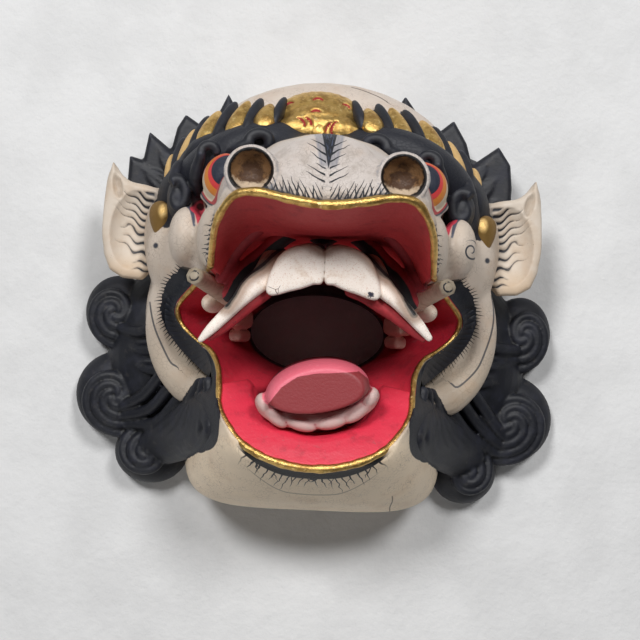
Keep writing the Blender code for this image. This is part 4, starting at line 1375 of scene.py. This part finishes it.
class Paint:
    """A painted finish, whose colours go on one over another.

    Places are x, y, z and side, the distance from the middle plane, in millimetres of the layout. Numbers in
    the paint are such places and widths, shares of 1, and colours from 0 to 255.
    """

    def __init__(self, name, ground, rough=0.6, metal=0.0):
        self.material = bpy.data.materials.new(name)
        self.material.use_nodes = True
        self.tree = self.material.node_tree
        self.shader = self.tree.nodes["Principled BSDF"]
        self.join(metal, self.shader.inputs["Metallic"])
        self.join(rough, self.shader.inputs["Roughness"])
        metres = self.made("ShaderNodeTexCoord", {}, "Object")
        self.place = self.moved(metres, (1 / MM, 1 / MM, 1 / MM), (0, -SHIFT_Y, 0))
        split = self.made("ShaderNodeSeparateXYZ", {0: self.place}).socket.node
        self.x, self.y, self.z = (Signal(self, output) for output in split.outputs)
        self.side = abs(self.x)
        self.colour = srgb(*ground)

    def join(self, source, socket):
        """Links a signal to the socket, or sets the socket to a value."""
        if isinstance(source, Signal):
            self.tree.links.new(source.socket, socket)
        else:
            socket.default_value = source

    def made(self, kind, inputs, output=0, **settings):
        """An output of a new node, as a signal."""
        node = self.tree.nodes.new(kind)
        for name, value in settings.items():
            setattr(node, name, value)
        for key, value in inputs.items():
            self.join(value, node.inputs[key])
        return Signal(self, node.outputs[output])

    def math(self, operation, *values):
        return self.made("ShaderNodeMath", dict(enumerate(values)), operation=operation)

    def moved(self, place, scale, shift):
        return self.made("ShaderNodeVectorMath", {0: place, 1: scale, 2: shift}, operation="MULTIPLY_ADD")

    def signal(self, name):
        return self.made("ShaderNodeAttribute", {}, "Fac", attribute_name=name)

    def line(self, name):
        """How far along a stored line each place is, and how far beside it."""
        return self.signal(name + "_along"), self.signal(name + "_off")

    def noise(self, size, detail=3.0, rough=0.55, seed=0.0, stretch=(1, 1, 1)):
        """Cloudy noise, 0 to 1 with a mean of a half, with spots about size mm across."""
        place = self.moved(self.place, tuple(k / size for k in stretch), (seed * 7.3, seed * 3.1, seed * 5.7))
        inputs = {"Vector": place, "Scale": 1.0, "Detail": detail, "Roughness": rough}
        return self.made("ShaderNodeTexNoise", inputs)

    def cracks(self, size, seed=0.0):
        """How far each place is from a net of cracks, in parts of size."""
        place = self.moved(self.place, (1 / size, 1 / size, 1 / size), (seed, seed * 2, seed * 3))
        return self.made("ShaderNodeTexVoronoi", {"Vector": place, "Scale": 1.0}, feature="DISTANCE_TO_EDGE")

    def hollow(self, low, high):
        """0 to 1: how sharply each place is sunk."""
        return (self.signal("relief") * -1).rise(low, high)

    def lay(self, colour, mask):
        """Lays a colour over what is there, where mask is 1."""
        inputs = {0: mask, 6: self.colour, 7: srgb(*colour)}
        self.colour = self.made("ShaderNodeMix", inputs, 2, data_type="RGBA")

    def strokes(self, along, out, start, length, pitch, width, slant=0.0, seed=0.0):
        """Short tapering brush strokes that begin at out = start and run outwards."""
        wander = (self.noise(9, 1, seed=seed) - 0.5) * (pitch * 0.7)
        phase = (along - slant * out + wander) / pitch
        cell = phase.by("FLOOR")
        chance = self.made("ShaderNodeTexWhiteNoise", {"W": cell + seed}, "Value", noise_dimensions="1D")
        share = (out - start) / (chance * (length * 0.6) + length * 0.6)
        half = (1.15 - share) * (width / 2)
        beside = abs(phase.by("FRACT") - 0.5) * pitch
        body = (half - beside).rise(-0.12, 0.12)
        return body * share.rise(-0.02, 0.02) * share.rise(1.0, 0.96)

    def ring(self, x, y, radius=0.0):
        """How far inside a circle of the XY plane each place is, mirrored across X = 0."""
        across, up = self.side - x, self.y - y
        return radius - (across * across + up * up).by("SQRT")

    def finish(self, rough=None, bump=None, depth=0.15, metal=None):
        """Connects the colour, and roughness, metal and a bump of the given depth in mm if there are any."""
        parts = {"Base Color": self.colour, "Roughness": rough, "Metallic": metal}
        if bump is not None:
            inputs = {"Strength": 1.0, "Distance": depth * MM, "Height": bump}
            parts["Normal"] = self.made("ShaderNodeBump", inputs)
        for name, source in parts.items():
            if source is not None:
                self.join(source, self.shader.inputs[name])
        return self.material


INK = (24, 26, 34)
INK_SOFT = (52, 56, 66)
HAIR_BLACK = (30, 32, 41)


def weather(paint, amount=0.55):
    """Grime in the hollows, small dark specks and mottling that old gesso shows."""
    dirt, dust = (96, 78, 60), (192, 156, 120)
    grain = paint.noise(5, 4, seed=2)
    paint.lay(dirt, (paint.signal("relief") * -1 + (grain - 0.5) * 0.12).rise(0.02, 0.3) * amount)
    paint.lay(dust, paint.noise(28, 5, 0.6, seed=4).rise(0.5, 0.72) * 0.3)
    specks = paint.noise(1.1, 2, 0.5, seed=5).rise(0.7, 0.76)
    paint.lay(dirt, specks * paint.noise(17, 2, seed=6).rise(0.42, 0.6) * 0.7)


def gesso_ground(p, cloud):
    """Aged cream, browner on the jaw and paler on nose and crown, with a painted highlight that makes the
    chin paler.
    """
    p.lay((196, 180, 163), cloud.rise(0.35, 0.7) * 0.6)
    p.lay((194, 178, 158), p.y.rise(10, -40) * 0.75)
    # Painted highlight: the chin is laid a paler cream to stand in for the light that falls on it.
    p.lay((242, 222, 194), p.y.rise(-70, -92) * (0.7 + cloud * 0.4))
    p.lay((212, 203, 198), p.z.rise(150, 190) * p.y.rise(74, 84) * 0.8)
    p.lay((212, 198, 186), p.y.rise(140, 155) * 0.8)
    weather(p)
    fine = p.cracks(3.2, 1).rise(0.05, 0.015) * p.noise(12, 2, seed=8).rise(0.42, 0.6)
    p.lay((120, 100, 84), fine * 0.35)


def paint_forehead(p):
    """The dark ground under forelocks and leaves."""
    brow = (p.signal("brow_off") + (p.noise(5, 3, seed=9) - 0.5) * 3).rise(0.6, -0.6)
    p.lay(HAIR_BLACK, brow * p.z.rise(212, 206))


def paint_nose(p, front):
    """The dark wedge and chevrons on the bridge, and the lashes along the upper lip."""
    x, y, side = p.x, p.y, p.side
    grime = p.noise(9, 5, 0.65, seed=10)
    p.lay((164, 150, 138), front * grime.rise(0.42, 0.7) * 0.6 * y.rise(124, 100))
    wedge = (y - 94) * 0.2 - abs(x - 0.5)
    streak = p.noise(1.1, 2, seed=18, stretch=(1, 0.14, 0.14))
    p.lay((132, 134, 144), (wedge + 5.2).rise(-0.6, 1.2) * front * y.rise(93, 97) * (streak * 0.9 + 0.2))
    p.lay(INK, wedge.rise(-0.25, 0.25) * front)
    p.lay((74, 84, 108), wedge.rise(0.6, 1.6) * front * streak.rise(0.5, 0.62) * 0.8)
    chevron = p.strokes(y - 86, side, 1.2, 11, 4.7, 1.35, slant=0.62, seed=3)
    p.lay(INK, chevron * front * y.rise(84, 86) * (y - side * 0.62).rise(112, 110) * side.rise(17, 16))
    along, off = p.line("rim")
    lash = p.strokes(along, off, 3.2, 11, 3.4, 1.5, slant=0.75, seed=11)
    p.lay(INK, lash * along.rise(2, 3) * along.rise(52, 50) * front)
    lash = p.strokes(along, off, 2.8, 9, 5.3, 1.4, slant=0.15, seed=12)
    p.lay(INK, lash * along.rise(4, 6) * along.rise(50, 46) * front)
    p.lay((60, 58, 62), off.rise(9, 4) * along.rise(50, 40) * grime.rise(0.42, 0.6) * 0.7 * front)
    foot = off.rise(5.4, 3.4) * along.rise(48, 36)
    p.lay(INK, foot * (p.noise(4, 3, seed=12) + 0.35).rise(0.35, 0.6) * 0.9)


def paint_nostrils(p):
    """Brown hollows, pale at the foot, in worn black rings."""
    y, z = p.y, p.z
    wing = z.rise(225, 232)
    ring = p.ring(*NOSTRIL) * -1
    chips = p.noise(3, 4, 0.6, seed=14)
    p.lay((132, 134, 142), (1.4 - abs(ring - 17)).rise(0, 1.2) * wing * chips.rise(0.35, 0.6) * 0.6)
    inside = p.signal("nostril_reach").rise(1.06, 1.01) * z.rise(226, 229) * ring.rise(15.2, 14.6)
    p.lay((140, 104, 68), inside)
    streaks = p.noise(6, 5, 0.65, seed=15)
    streaks = streaks + ring.rise(11, 4) * 0.22 + y.rise(96, 88) * 0.08
    p.lay((78, 52, 32), inside * streaks.rise(0.5, 0.7))
    p.lay((206, 184, 158), inside * (y + (chips - 0.5) * 10 - ring * 0.5).rise(83.5, 79))
    band = (ring + (chips - 0.5) * 3 + y.rise(96, 82) * 1.2).rise(12.4, 13.2) * ring.rise(14.9, 14.4) * wing
    p.lay((18, 18, 22), band * (chips + 0.3 + y.rise(84, 92) * 0.1).rise(0.5, 0.58) * y.rise(76, 82))


def paint_cheeks(p):
    """The red corners under the eyes, the whiskers, and the dot and curl of each cheek."""
    x, y, z = p.x, p.y, p.z
    corner = p.signal("red_corner")
    low = z.rise(154, 146) * z.rise(84, 92)
    p.lay((214, 186, 172), (corner + 1.2).rise(-0.4, 0.3) * low)
    p.lay((84, 88, 102), p.signal("corner_line").rise(-0.5, 0.3) * low)
    p.lay((208, 66, 84), corner.rise(-0.3, 0.4) * low)
    p.lay((70, 10, 20), p.ring(92.3, 80.5, 2.9).rise(-0.5, 0.9) * low)
    along, off = p.line("rim_flat")
    whiskers = p.strokes(along, off, 1.6, 11, 2.9, 1.6, slant=0.25, seed=17)
    p.lay(INK, whiskers * along.rise(74, 76) * along.rise(110, 107) * z.rise(100, 110))
    # Painted shade: the dark dot below the ear leaf stands in for a small hole.
    p.lay(INK_SOFT, p.ring(125.5, 50.5, 2.1).rise(-0.8, 0.8) * z.rise(60, 66))
    turn = p.math("ARCTAN2", y - 55, x - 108) / (2 * math.pi)
    away = p.ring(108, 55) * -1
    winding = (away / 4.6 - turn).by("FRACT")
    curl = (0.75 - abs(winding - 0.5) * 4.6).rise(-0.1, 0.3) * away.rise(8.2, 7.6) * away.rise(1.2, 1.6)
    p.lay(INK_SOFT, curl * x.rise(95, 97) * z.rise(95, 100))


def paint_eyes(p):
    """The rings of the lid and the ball, each with its middle's y, its radius and its colour."""
    y, z, side = p.y, p.z, p.side
    reach = p.signal("eye_reach")
    deep = z.rise(165, 160) * z.rise(100, 108)
    eye = deep * side.rise(50, 52) * y.rise(66, 70) * reach.rise(1.5, 1.4)
    on_ball = eye * reach.rise(1.12, 1.06)
    lid_rings = [(97, 22.5, (70, 70, 78)), (97, 21.2, (176, 60, 64))]
    ball_rings = [
        (97, 20, (212, 196, 172)), (99, 17.2, (206, 126, 44)), (100.8, 14.2, (200, 58, 60)),
        (102.4, 11.7, (30, 36, 52)),
    ]
    p.lay((176, 170, 164), p.ring(EYE_MIDDLE, 97, 26).rise(-0.3, 0.3) * eye * 0.7)
    for rings, where in ((lid_rings, eye), (ball_rings, on_ball)):
        for middle, radius, colour in rings:
            p.lay(colour, p.ring(EYE_MIDDLE, middle, radius).rise(-0.2, 0.2) * where)
    above = deep * side.rise(40, 44) * side.rise(100, 97) * (y - 97 + (side - EYE_MIDDLE) * 0.9).rise(6, 10)
    p.lay((28, 30, 39), (p.ring(EYE_MIDDLE, 97, 19.6) * -1).rise(-0.3, 0.3) * above)
    glow = (0.9 - abs(p.ring(EYE_MIDDLE, 97, 19))).rise(-0.2, 0.3)
    p.lay((214, 110, 84), glow * eye * y.rise(98, 104))


def thin_line(p, name, half_width, low, high):
    """A painted hair line: its mask, which fades from half_width by low and high."""
    along, off = p.line(name)
    return (half_width - abs(off)).rise(low, high) * along.rise(0.5, 1.5)


def paint_jowls(p, cloud):
    """The dark gutter round the mouth corner, lashes along it and a thin line near the outer edge."""
    z = p.z
    along, off = p.line("rim")
    jowl_along, jowl_off = p.line("jowl")
    gutter = (jowl_off + (p.noise(2.5, 2, seed=22) - 0.5) * 0.7).rise(1.0, 0.5) * off.rise(1.5, 2.5)
    p.lay((26, 29, 37), gutter * along.rise(224, 232) * along.rise(346, 340))
    p.lay(INK, (p.signal("jaw_patch") + (cloud - 0.5)).rise(-0.3, 0.3) * z.rise(40, 50))
    lashes = p.strokes(*p.line("jowl_flat"), -0.6, 5.6, 2.5, 1.0, slant=0.25, seed=21)
    p.lay(INK, lashes * jowl_along.rise(1, 4) * z.rise(46, 52))
    for line in ("jowl_line_left", "jowl_line_right"):
        p.lay(INK_SOFT, thin_line(p, line, 0.75, -0.15, 0.25) * z.rise(50, 56) * 0.85)


def paint_chin(p):
    """The dark edge under the lip and the beard's strokes, measured as they are seen from the front."""
    along, _ = p.line("rim")  # 434 at the middle of the lower lip
    _, front_off = p.line("rim_flat")
    edge = along.rise(380, 434)
    p.lay((14, 15, 19), (front_off - edge * 7.8 - 2.4).rise(0.25, -0.25) * along.rise(392, 402))
    for slant, length, pitch, seed in ((-0.5, 13, 5.2, 25), (0.3, 8, 13, 26)):
        beard = p.strokes(along, front_off - edge * 7 - 2.2, 0.0, length, pitch, 1.1, slant=slant, seed=seed)
        p.lay(INK, beard * edge.rise(0.2, 0.4))
    worn_line = (0.4 - abs(front_off - edge * 19 - 6)).rise(-0.3, 0.2)
    p.lay((120, 102, 84), worn_line * edge.rise(0.3, 0.6) * 0.6)
    for line, strength in (("chin_crack", 0.8), ("crown_scratch", 0.9)):
        p.lay((80, 62, 50), thin_line(p, line, 0.5, -0.2, 0.3) * p.z.rise(20, 30) * strength)


def paint_edges(p):
    """Hair paint that runs on to the face, and the bare wood behind."""
    hair = (p.signal("hair_off") + (p.noise(3, 3, seed=30) - 0.5) * 1.2).rise(1.9, 1.3)
    p.lay(HAIR_BLACK, hair * p.z.rise(2, 5))
    bare = p.signal("bare_wood")
    p.lay((104, 76, 50), bare)
    grain = p.noise(3, 4, 0.6, seed=31, stretch=(1, 0.12, 1))
    p.lay((70, 48, 32), bare * grain.rise(0.45, 0.65) * 0.7)


def face_paint():
    p = Paint("painted_gesso", (209, 195, 181), 0.55)
    cloud = p.noise(22, 4, 0.6, seed=1)
    front = p.z.rise(200, 215)
    gesso_ground(p, cloud)
    paint_forehead(p)
    paint_nose(p, front)
    paint_nostrils(p)
    paint_cheeks(p)
    paint_eyes(p)
    paint_jowls(p, cloud)
    paint_chin(p)
    paint_edges(p)
    crazing = p.cracks(3.2, 1).rise(0.0, 0.06) * 0.5 + p.cracks(1.6, 2).rise(0.0, 0.08) * front * 0.7
    return p.finish(cloud * 0.25 + 0.42, p.noise(1.4, 3, 0.6, seed=33) + crazing, 0.2)


def hair_paint():
    p = Paint("painted_hair", (22, 24, 32), 0.42)
    relief = p.signal("relief")
    cloud = p.noise(14, 4, 0.6, seed=1)
    p.lay((34, 36, 48), cloud.rise(0.45, 0.7) * 0.8)
    # Greyer on the ridges: partly worn paint, partly a painted highlight.
    p.lay((74, 78, 92), (relief + (p.noise(4, 3, seed=2) - 0.5) * 0.14).rise(0.14, 0.4) * 0.4)
    # Painted shade: the grooves are laid near black.
    p.lay((8, 9, 12), (relief * -1 + (cloud - 0.5) * 0.1).rise(0.04, 0.3) * 0.95)
    p.lay((104, 98, 92), p.noise(9, 5, 0.65, seed=3).rise(0.56, 0.72) * 0.16)
    p.lay((96, 86, 74), p.noise(1.6, 2, seed=4).rise(0.74, 0.8) * 0.4)
    p.lay((120, 92, 64), p.z.rise(1.2, 0.5))
    bump = p.noise(2.2, 4, 0.6, seed=5) + p.noise(1.2, 2, seed=6, stretch=(0.4, 1, 1)) * 0.5
    return p.finish(cloud * 0.25 + 0.44, bump, 0.14)


def gold_leaf(name, dull_tips=None, gouged=False):
    """Gold leaf, worn and flecked; dull_tips is the height about which leaves turn to bare ochre."""
    p = Paint(name, (222, 184, 110), 0.38, 1.0)
    cloud = p.noise(7, 4, 0.6, seed=1)
    p.lay((172, 132, 72), cloud.rise(0.42, 0.66) * 0.8)
    p.lay((250, 226, 160), p.noise(3.2, 3, seed=2).rise(0.56, 0.72) * 0.7)
    worn = (p.signal("relief") * -1 + (p.noise(3, 4, seed=3) - 0.5) * 0.3).rise(0.12, 0.36)
    p.lay((96, 58, 36), worn * 0.8)
    flecks = p.noise(1.5, 3, 0.6, seed=4).rise(0.66, 0.72)
    p.lay((104, 40, 30), flecks * 0.75)
    bare = (worn * 0.7).by("MAXIMUM", flecks * 0.8)
    if dull_tips:
        tips = p.z.rise(dull_tips + 6, dull_tips - 8)
        p.lay((214, 178, 122), tips * 0.85)
        bare = bare.by("MAXIMUM", tips * 0.75)
        p.lay((120, 90, 42), p.y.rise(94, 88) * (p.y * 0.2 + p.z).rise(110.5, 109) * 0.9)
    if gouged:
        gouge = p.signal("gouge").rise(0.35, 0.55)
        p.lay((150, 34, 34), gouge)
        bare = bare.by("MAXIMUM", gouge)
    bump = p.noise(1.6, 4, 0.65, seed=7) + p.noise(5, 3, seed=8, stretch=(1, 0.4, 1)) * 1.5
    return p.finish(cloud * 0.3 + 0.27 + bare * 0.3, bump, 0.45, metal=1 - bare)


def red_paint():
    p = Paint("lining_red", (196, 44, 62), 0.5)
    under_lip = p.y.rise(2, 30)
    p.lay((196, 60, 62), under_lip * 0.9)
    # Painted highlight: the lower lip's flat is a brighter red, a lit copy of the lining red.
    p.lay((222, 52, 76), p.y.rise(-40, -60) * p.z.rise(100, 130))
    cloud = p.noise(11, 4, 0.6, seed=1)
    p.lay((112, 22, 32), cloud.rise(0.5, 0.75) * 0.35)
    p.lay((232, 96, 110), p.noise(2.2, 4, 0.6, seed=2).rise(0.6, 0.74) * 0.3 * (1 - under_lip * 0.7))
    p.lay((120, 96, 96), p.noise(8, 5, 0.7, seed=3).rise(0.6, 0.72) * 0.35 * p.y.rise(10, -10))
    p.lay((70, 16, 24), p.hollow(0.05, 0.3) * 0.6)
    # Painted shade: the throat and the deep lining above the hole are laid near black, so the hole reads
    # dark.
    throat_shade = p.z.rise(84, 60) * p.y.rise(4, 12) * p.side.rise(58, 50)
    p.lay((14, 8, 10), p.z.rise(40, 30).by("MAXIMUM", throat_shade))
    # Painted shade: a darker red ring on the lower lip round the tongue block, where the recess lies in
    # shade.
    across, up = (p.x - 1) / 45, (p.y + 52) / 29
    recess_shade = (across * across + up * up).by("SQRT")
    p.lay((84, 14, 24), (recess_shade + (cloud - 0.5) * 0.08).rise(1.03, 0.97) * p.y.rise(-50, -58) * 0.9)
    return p.finish(cloud * 0.25 + 0.38, p.noise(1.5, 4, 0.65, seed=5) + p.noise(6, 3, seed=6) * 2, 0.25)


def gum_paint():
    # The gum's ground is a darker red than the lining's: painted shade of the gum under the upper lip.
    p = Paint("gum_red", (160, 38, 46), 0.5)
    cloud = p.noise(6, 4, 0.6, seed=1)
    p.lay((128, 24, 32), cloud.rise(0.42, 0.7) * 0.7)
    # Black along the gum's lower edge: a dark joint, carried up to about 6.5 mm as painted shade of the gum.
    line = (p.signal("gum_off") + (p.noise(4, 2, seed=2) - 0.5) * 1.2).rise(6.8, 6.0) * p.z.rise(158, 163)
    p.lay((20, 16, 20), line)
    p.lay((24, 16, 20), p.noise(4, 4, 0.7, seed=3).rise(0.66, 0.7) * 0.8)
    return p.finish(cloud * 0.2 + 0.6, p.noise(1.5, 4, 0.65, seed=5), 0.25)


def tooth_paint(name="tooth_cream", gum=True):
    p = Paint(name, (240, 222, 204), 0.5)
    cloud = p.noise(9, 4, 0.6, seed=1)
    p.lay((252, 242, 232), p.z.rise(180, 192) * 0.9)
    p.lay((206, 176, 146), cloud.rise(0.52, 0.74) * 0.45)
    p.lay((204, 156, 124), p.noise(0.9, 3, 0.6, seed=2).rise(0.57, 0.66) * 0.5)
    p.lay((132, 102, 76), p.hollow(0.04, 0.3) * 0.75)
    if gum:
        off = p.signal("gum_off")
        above = p.z.rise(150, 160)
        # Painted shadow of the gum and upper lip on the teeth: a brownish band within 10 mm of the gum and a
        # grey one within 3 mm.
        p.lay((146, 114, 92), off.rise(10, 4) * above * 0.8)
        p.lay((92, 84, 74), (off + (cloud - 0.5) * 3).rise(3.4, 2.0) * above * 0.8)
        p.lay((22, 20, 22), (off + (p.noise(4, 2, seed=5) - 0.5) * 1.2).rise(1.5, 0.9) * above)
        chip = p.ring(33.5, 18.5, 2.6) + (p.noise(1.4, 4, 0.7, seed=7) - 0.5) * 7
        p.lay((52, 52, 66), chip.rise(0.3, 1.0) * p.z.rise(185, 190) * p.x.rise(4, 6))
        flaw = p.cracks(7, 3).rise(0.03, 0.01) * p.ring(31, 17, 7).rise(0, 2) * p.x.rise(-4, -6)
        p.lay((90, 56, 50), flaw * p.z.rise(185, 190))
    bump = p.noise(1.0, 3, 0.6, seed=8) + p.cracks(2.4, 2).rise(0, 0.08) * 0.4
    return p.finish(cloud * 0.2 + 0.4, bump, 0.16)


def stick_paint():
    """The whittled lower tusks: greyed cream, with a ring drawn on the flat end."""
    p = Paint("tusk_cream", (198, 184, 162), 0.55)
    grain = p.noise(3, 4, 0.6, seed=1, stretch=(0.3, 0.5, 1))
    p.lay((160, 142, 118), grain.rise(0.42, 0.66) * 0.6)
    p.lay((120, 98, 76), p.hollow(0.04, 0.3) * 0.5)
    end = p.z.rise(160.5, 161.5)
    ring = (0.7 - abs(p.ring(89, 27, 3.4) + (p.noise(3, 2, seed=3) - 0.5) * 1.2)).rise(-0.1, 0.3)
    p.lay((40, 42, 52), ring * end * p.noise(2.5, 2, seed=4).rise(0.34, 0.42))
    return p.finish(grain * 0.2 + 0.45, p.noise(1.2, 3, seed=5), 0.16)


def tongue_paint():
    p = Paint("tongue_red", (232, 112, 130), 0.5)
    cloud = p.noise(8, 4, 0.6, seed=1)
    reach = p.signal("tongue_reach")
    # Painted shade: the tongue's front face is laid a darker red than its lit pink top.
    front = (p.signal("tongue_shaded_front") + (p.noise(4, 3, seed=6) - 0.5)).rise(-0.3, 0.4) * p.z.rise(151, 154)
    p.lay((138, 48, 50), front * 0.95)
    p.lay((240, 140, 152), p.noise(3, 4, seed=2).rise(0.58, 0.72) * 0.4 * (1 - front))
    tooth = reach.rise(1.03, 1.07) * p.y.rise(-40, -44)
    p.lay((212, 170, 166), tooth)
    p.lay((168, 66, 78), tooth * (p.signal("relief") * -1 + (cloud - 0.5) * 0.2).rise(0.0, 0.22) * 0.85)
    p.lay((196, 184, 176), tooth * p.signal("relief").rise(0.08, 0.25) * 0.7)
    p.lay((120, 40, 50), p.hollow(0.08, 0.4) * 0.6)
    p.lay((108, 24, 34), p.z.rise(141, 132) * 0.9)
    return p.finish(cloud * 0.2 + 0.4, p.noise(1.8, 4, 0.6, seed=5), 0.25)


def ear_paint():
    p = Paint("ear_gesso", (208, 195, 180), 0.55)
    cloud = p.noise(18, 4, 0.6, seed=1)
    p.lay((196, 176, 154), cloud.rise(0.4, 0.7) * 0.6)
    p.lay((206, 176, 140), p.y.rise(50, 30) * 0.5)
    weather(p, amount=0.45)
    side = p.side
    p.lay((120, 104, 90), side.rise(140, 128) * p.z.rise(50, 56) * 0.35)
    wave = p.signal("wave") + (p.noise(2, 2, seed=9) - 0.5) * 0.35
    p.lay((96, 88, 84), wave.rise(-1.5, 0.2) * side.rise(156, 132) * 0.7)
    root = side.rise(133, 128) * p.z.rise(48, 52) * p.y.rise(34, 40) * p.y.rise(92, 86)
    p.lay((104, 96, 90), root * 0.6)
    p.lay(INK, wave.rise(-0.15, 0.35) * side.rise(170, 140))
    return p.finish(cloud * 0.2 + 0.45, p.noise(1.4, 3, 0.6, seed=11), 0.16)


def band_paint():
    p = Paint("band_black", (30, 33, 42), 0.5)
    p.lay((78, 82, 92), p.signal("relief").rise(0.05, 0.4) * 0.55)
    p.lay((8, 9, 12), p.hollow(0.03, 0.3) * 0.9)
    p.lay((96, 90, 84), p.noise(6, 5, 0.7, seed=2).rise(0.58, 0.7) * 0.3)
    return p.finish(p.noise(6, 3, seed=3) * 0.3 + 0.35, p.noise(1.5, 3, seed=4), 0.2)


def floor_paint():
    p = Paint("studio_floor_paint", (226, 226, 226), 0.85)
    p.lay((217, 217, 217), p.noise(60, 5, 0.6, seed=1).rise(0.35, 0.7))
    return p.finish(None, p.noise(7, 4, 0.6, seed=2), 0.9)


def dressed(obj, material, name=None, relief=True):
    obj.data.materials.clear()
    obj.data.materials.append(material)
    obj.data.polygons.foreach_set("use_smooth", [True] * len(obj.data.polygons))
    if relief:
        keep_relief(obj)
    if name:
        obj.name = name
    return obj


# ---------------------------------------------------------------- light and camera


# Lamps: place, what they point at, size in metres and watts.
LAMPS = [
    ("light_left", (-0.9, 1.34, 2.5), (0, 0, 0.1), 0.7, 50),
    ("light_right", (0.9, 1.34, 2.5), (0, 0, 0.1), 0.7, 43),
    ("light_low", (-0.8, -2.2, 1.4), (0, -0.02, 0.12), 1.4, 12.5),
]
CAMERA_PLACE = (-0.0071, SHIFT_Y * MM, 1.0)
CAMERA_TURN = (-0.0231, -0.50948, 2.5961)  # degrees about X, Y and Z
SENSOR, LENS = 36, 67.5
FLOOR_HALF, FLOOR_Z = 1500, -0.6


def lamp(name, place, aim, size, watts):
    light = bpy.data.lights.new(name, "AREA")
    light.shape = "DISK"
    light.size = size
    light.energy = watts
    obj = object_of(light, name)
    obj.location = place
    obj.rotation_euler = (Vector(aim) - Vector(place)).to_track_quat("-Z", "Y").to_euler()


def stage():
    corners = [(FLOOR_HALF * x, FLOOR_HALF * y, FLOOR_Z) for x, y in ((-1, -1), (1, -1), (1, 1), (-1, 1))]
    floor = mesh_from(corners, [(0, 1, 2, 3)], "studio_floor")
    dressed(floor, floor_paint(), relief=False)
    for name, place, aim, size, watts in LAMPS:
        lamp(name, place, aim, size, watts)
    world = bpy.data.worlds.new("studio")
    world.use_nodes = True
    world.node_tree.nodes["Background"].inputs[0].default_value = (0.97, 0.98, 1.0, 1)
    world.node_tree.nodes["Background"].inputs[1].default_value = 0.03
    bpy.context.scene.world = world
    camera = bpy.data.cameras.new("camera")
    camera.lens = LENS
    camera.sensor_width = SENSOR
    eye = object_of(camera, "camera")
    eye.matrix_world = Matrix.Translation(CAMERA_PLACE) @ spun(CAMERA_TURN)
    bpy.context.scene.camera = eye
    bpy.context.scene.view_settings.view_transform = "Standard"


def dress_head():
    """The pieces that stand for the solid head."""
    gold = gold_leaf("gold_leaf")
    red, tooth, hair_black = red_paint(), tooth_paint(), hair_paint()
    painted_face = face()
    hair_right, hair_left = hair(1), hair(-1)
    bands = corner_bands()
    mark_face(painted_face, [hair_right, hair_left])
    jewel = ornament()
    keep_signal(jewel, "gouge", gouge_depth(points_of(jewel)))
    tusks, incisors = upper_teeth()
    pieces = [
        dressed(painted_face, face_paint(), "painted_face"),
        dressed(hair_right, hair_black),
        dressed(hair_left, hair_black),
        dressed(bands, band_paint()),
        dressed(jewel, gold_leaf("ornament_gold", gouged=True)),
        dressed(joined(gold_leaves(), "gilt_leaves"), gold_leaf("dull_gold", dull_tips=96.0)),
        dressed(lip_band(), gold),
        dressed(mouth_lining(), red),
        dressed(lower_lip(), red),
        dressed(mark_gum_edge(gum()), gum_paint()),
        dressed(mark_gum_edge(tusks), tooth),
        dressed(mark_gum_edge(incisors), tooth),
        dressed(molars(), tooth_paint("molar_cream", gum=False)),
    ]
    for piece in pieces:
        placed(piece)
        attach(piece, "root")
        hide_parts("mask_body")


def dress_let_in_pieces():
    """Ears, lower tusks and tongue, which are pieces of their own."""
    right_ear, left_ear = mirrored([ear()])
    right_tusk, left_tusk = mirrored([lower_tusk()])
    ear_cream, stick, tongue_red = ear_paint(), stick_paint(), tongue_paint()
    pieces = [
        (carve_ear(right_ear), "carved_ear_right", "ear_right", ear_cream, "gessoed_ear"),
        (carve_ear(left_ear), "carved_ear_left", "ear_left", ear_cream, "gessoed_ear"),
        (right_tusk, "whittled_tusk_right", "lower_tusk_right", stick, "tusk"),
        (left_tusk, "whittled_tusk_left", "lower_tusk_left", stick, "tusk"),
        (mark_tongue(tongue_and_teeth()), "carved_tongue", "tongue_and_lower_teeth", tongue_red, "tongue"),
    ]
    for piece, name, node, material, slot in pieces:
        placed(dressed(piece, material, name))
        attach(piece, "root")
        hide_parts(node)


dress_head()
dress_let_in_pieces()
stage()
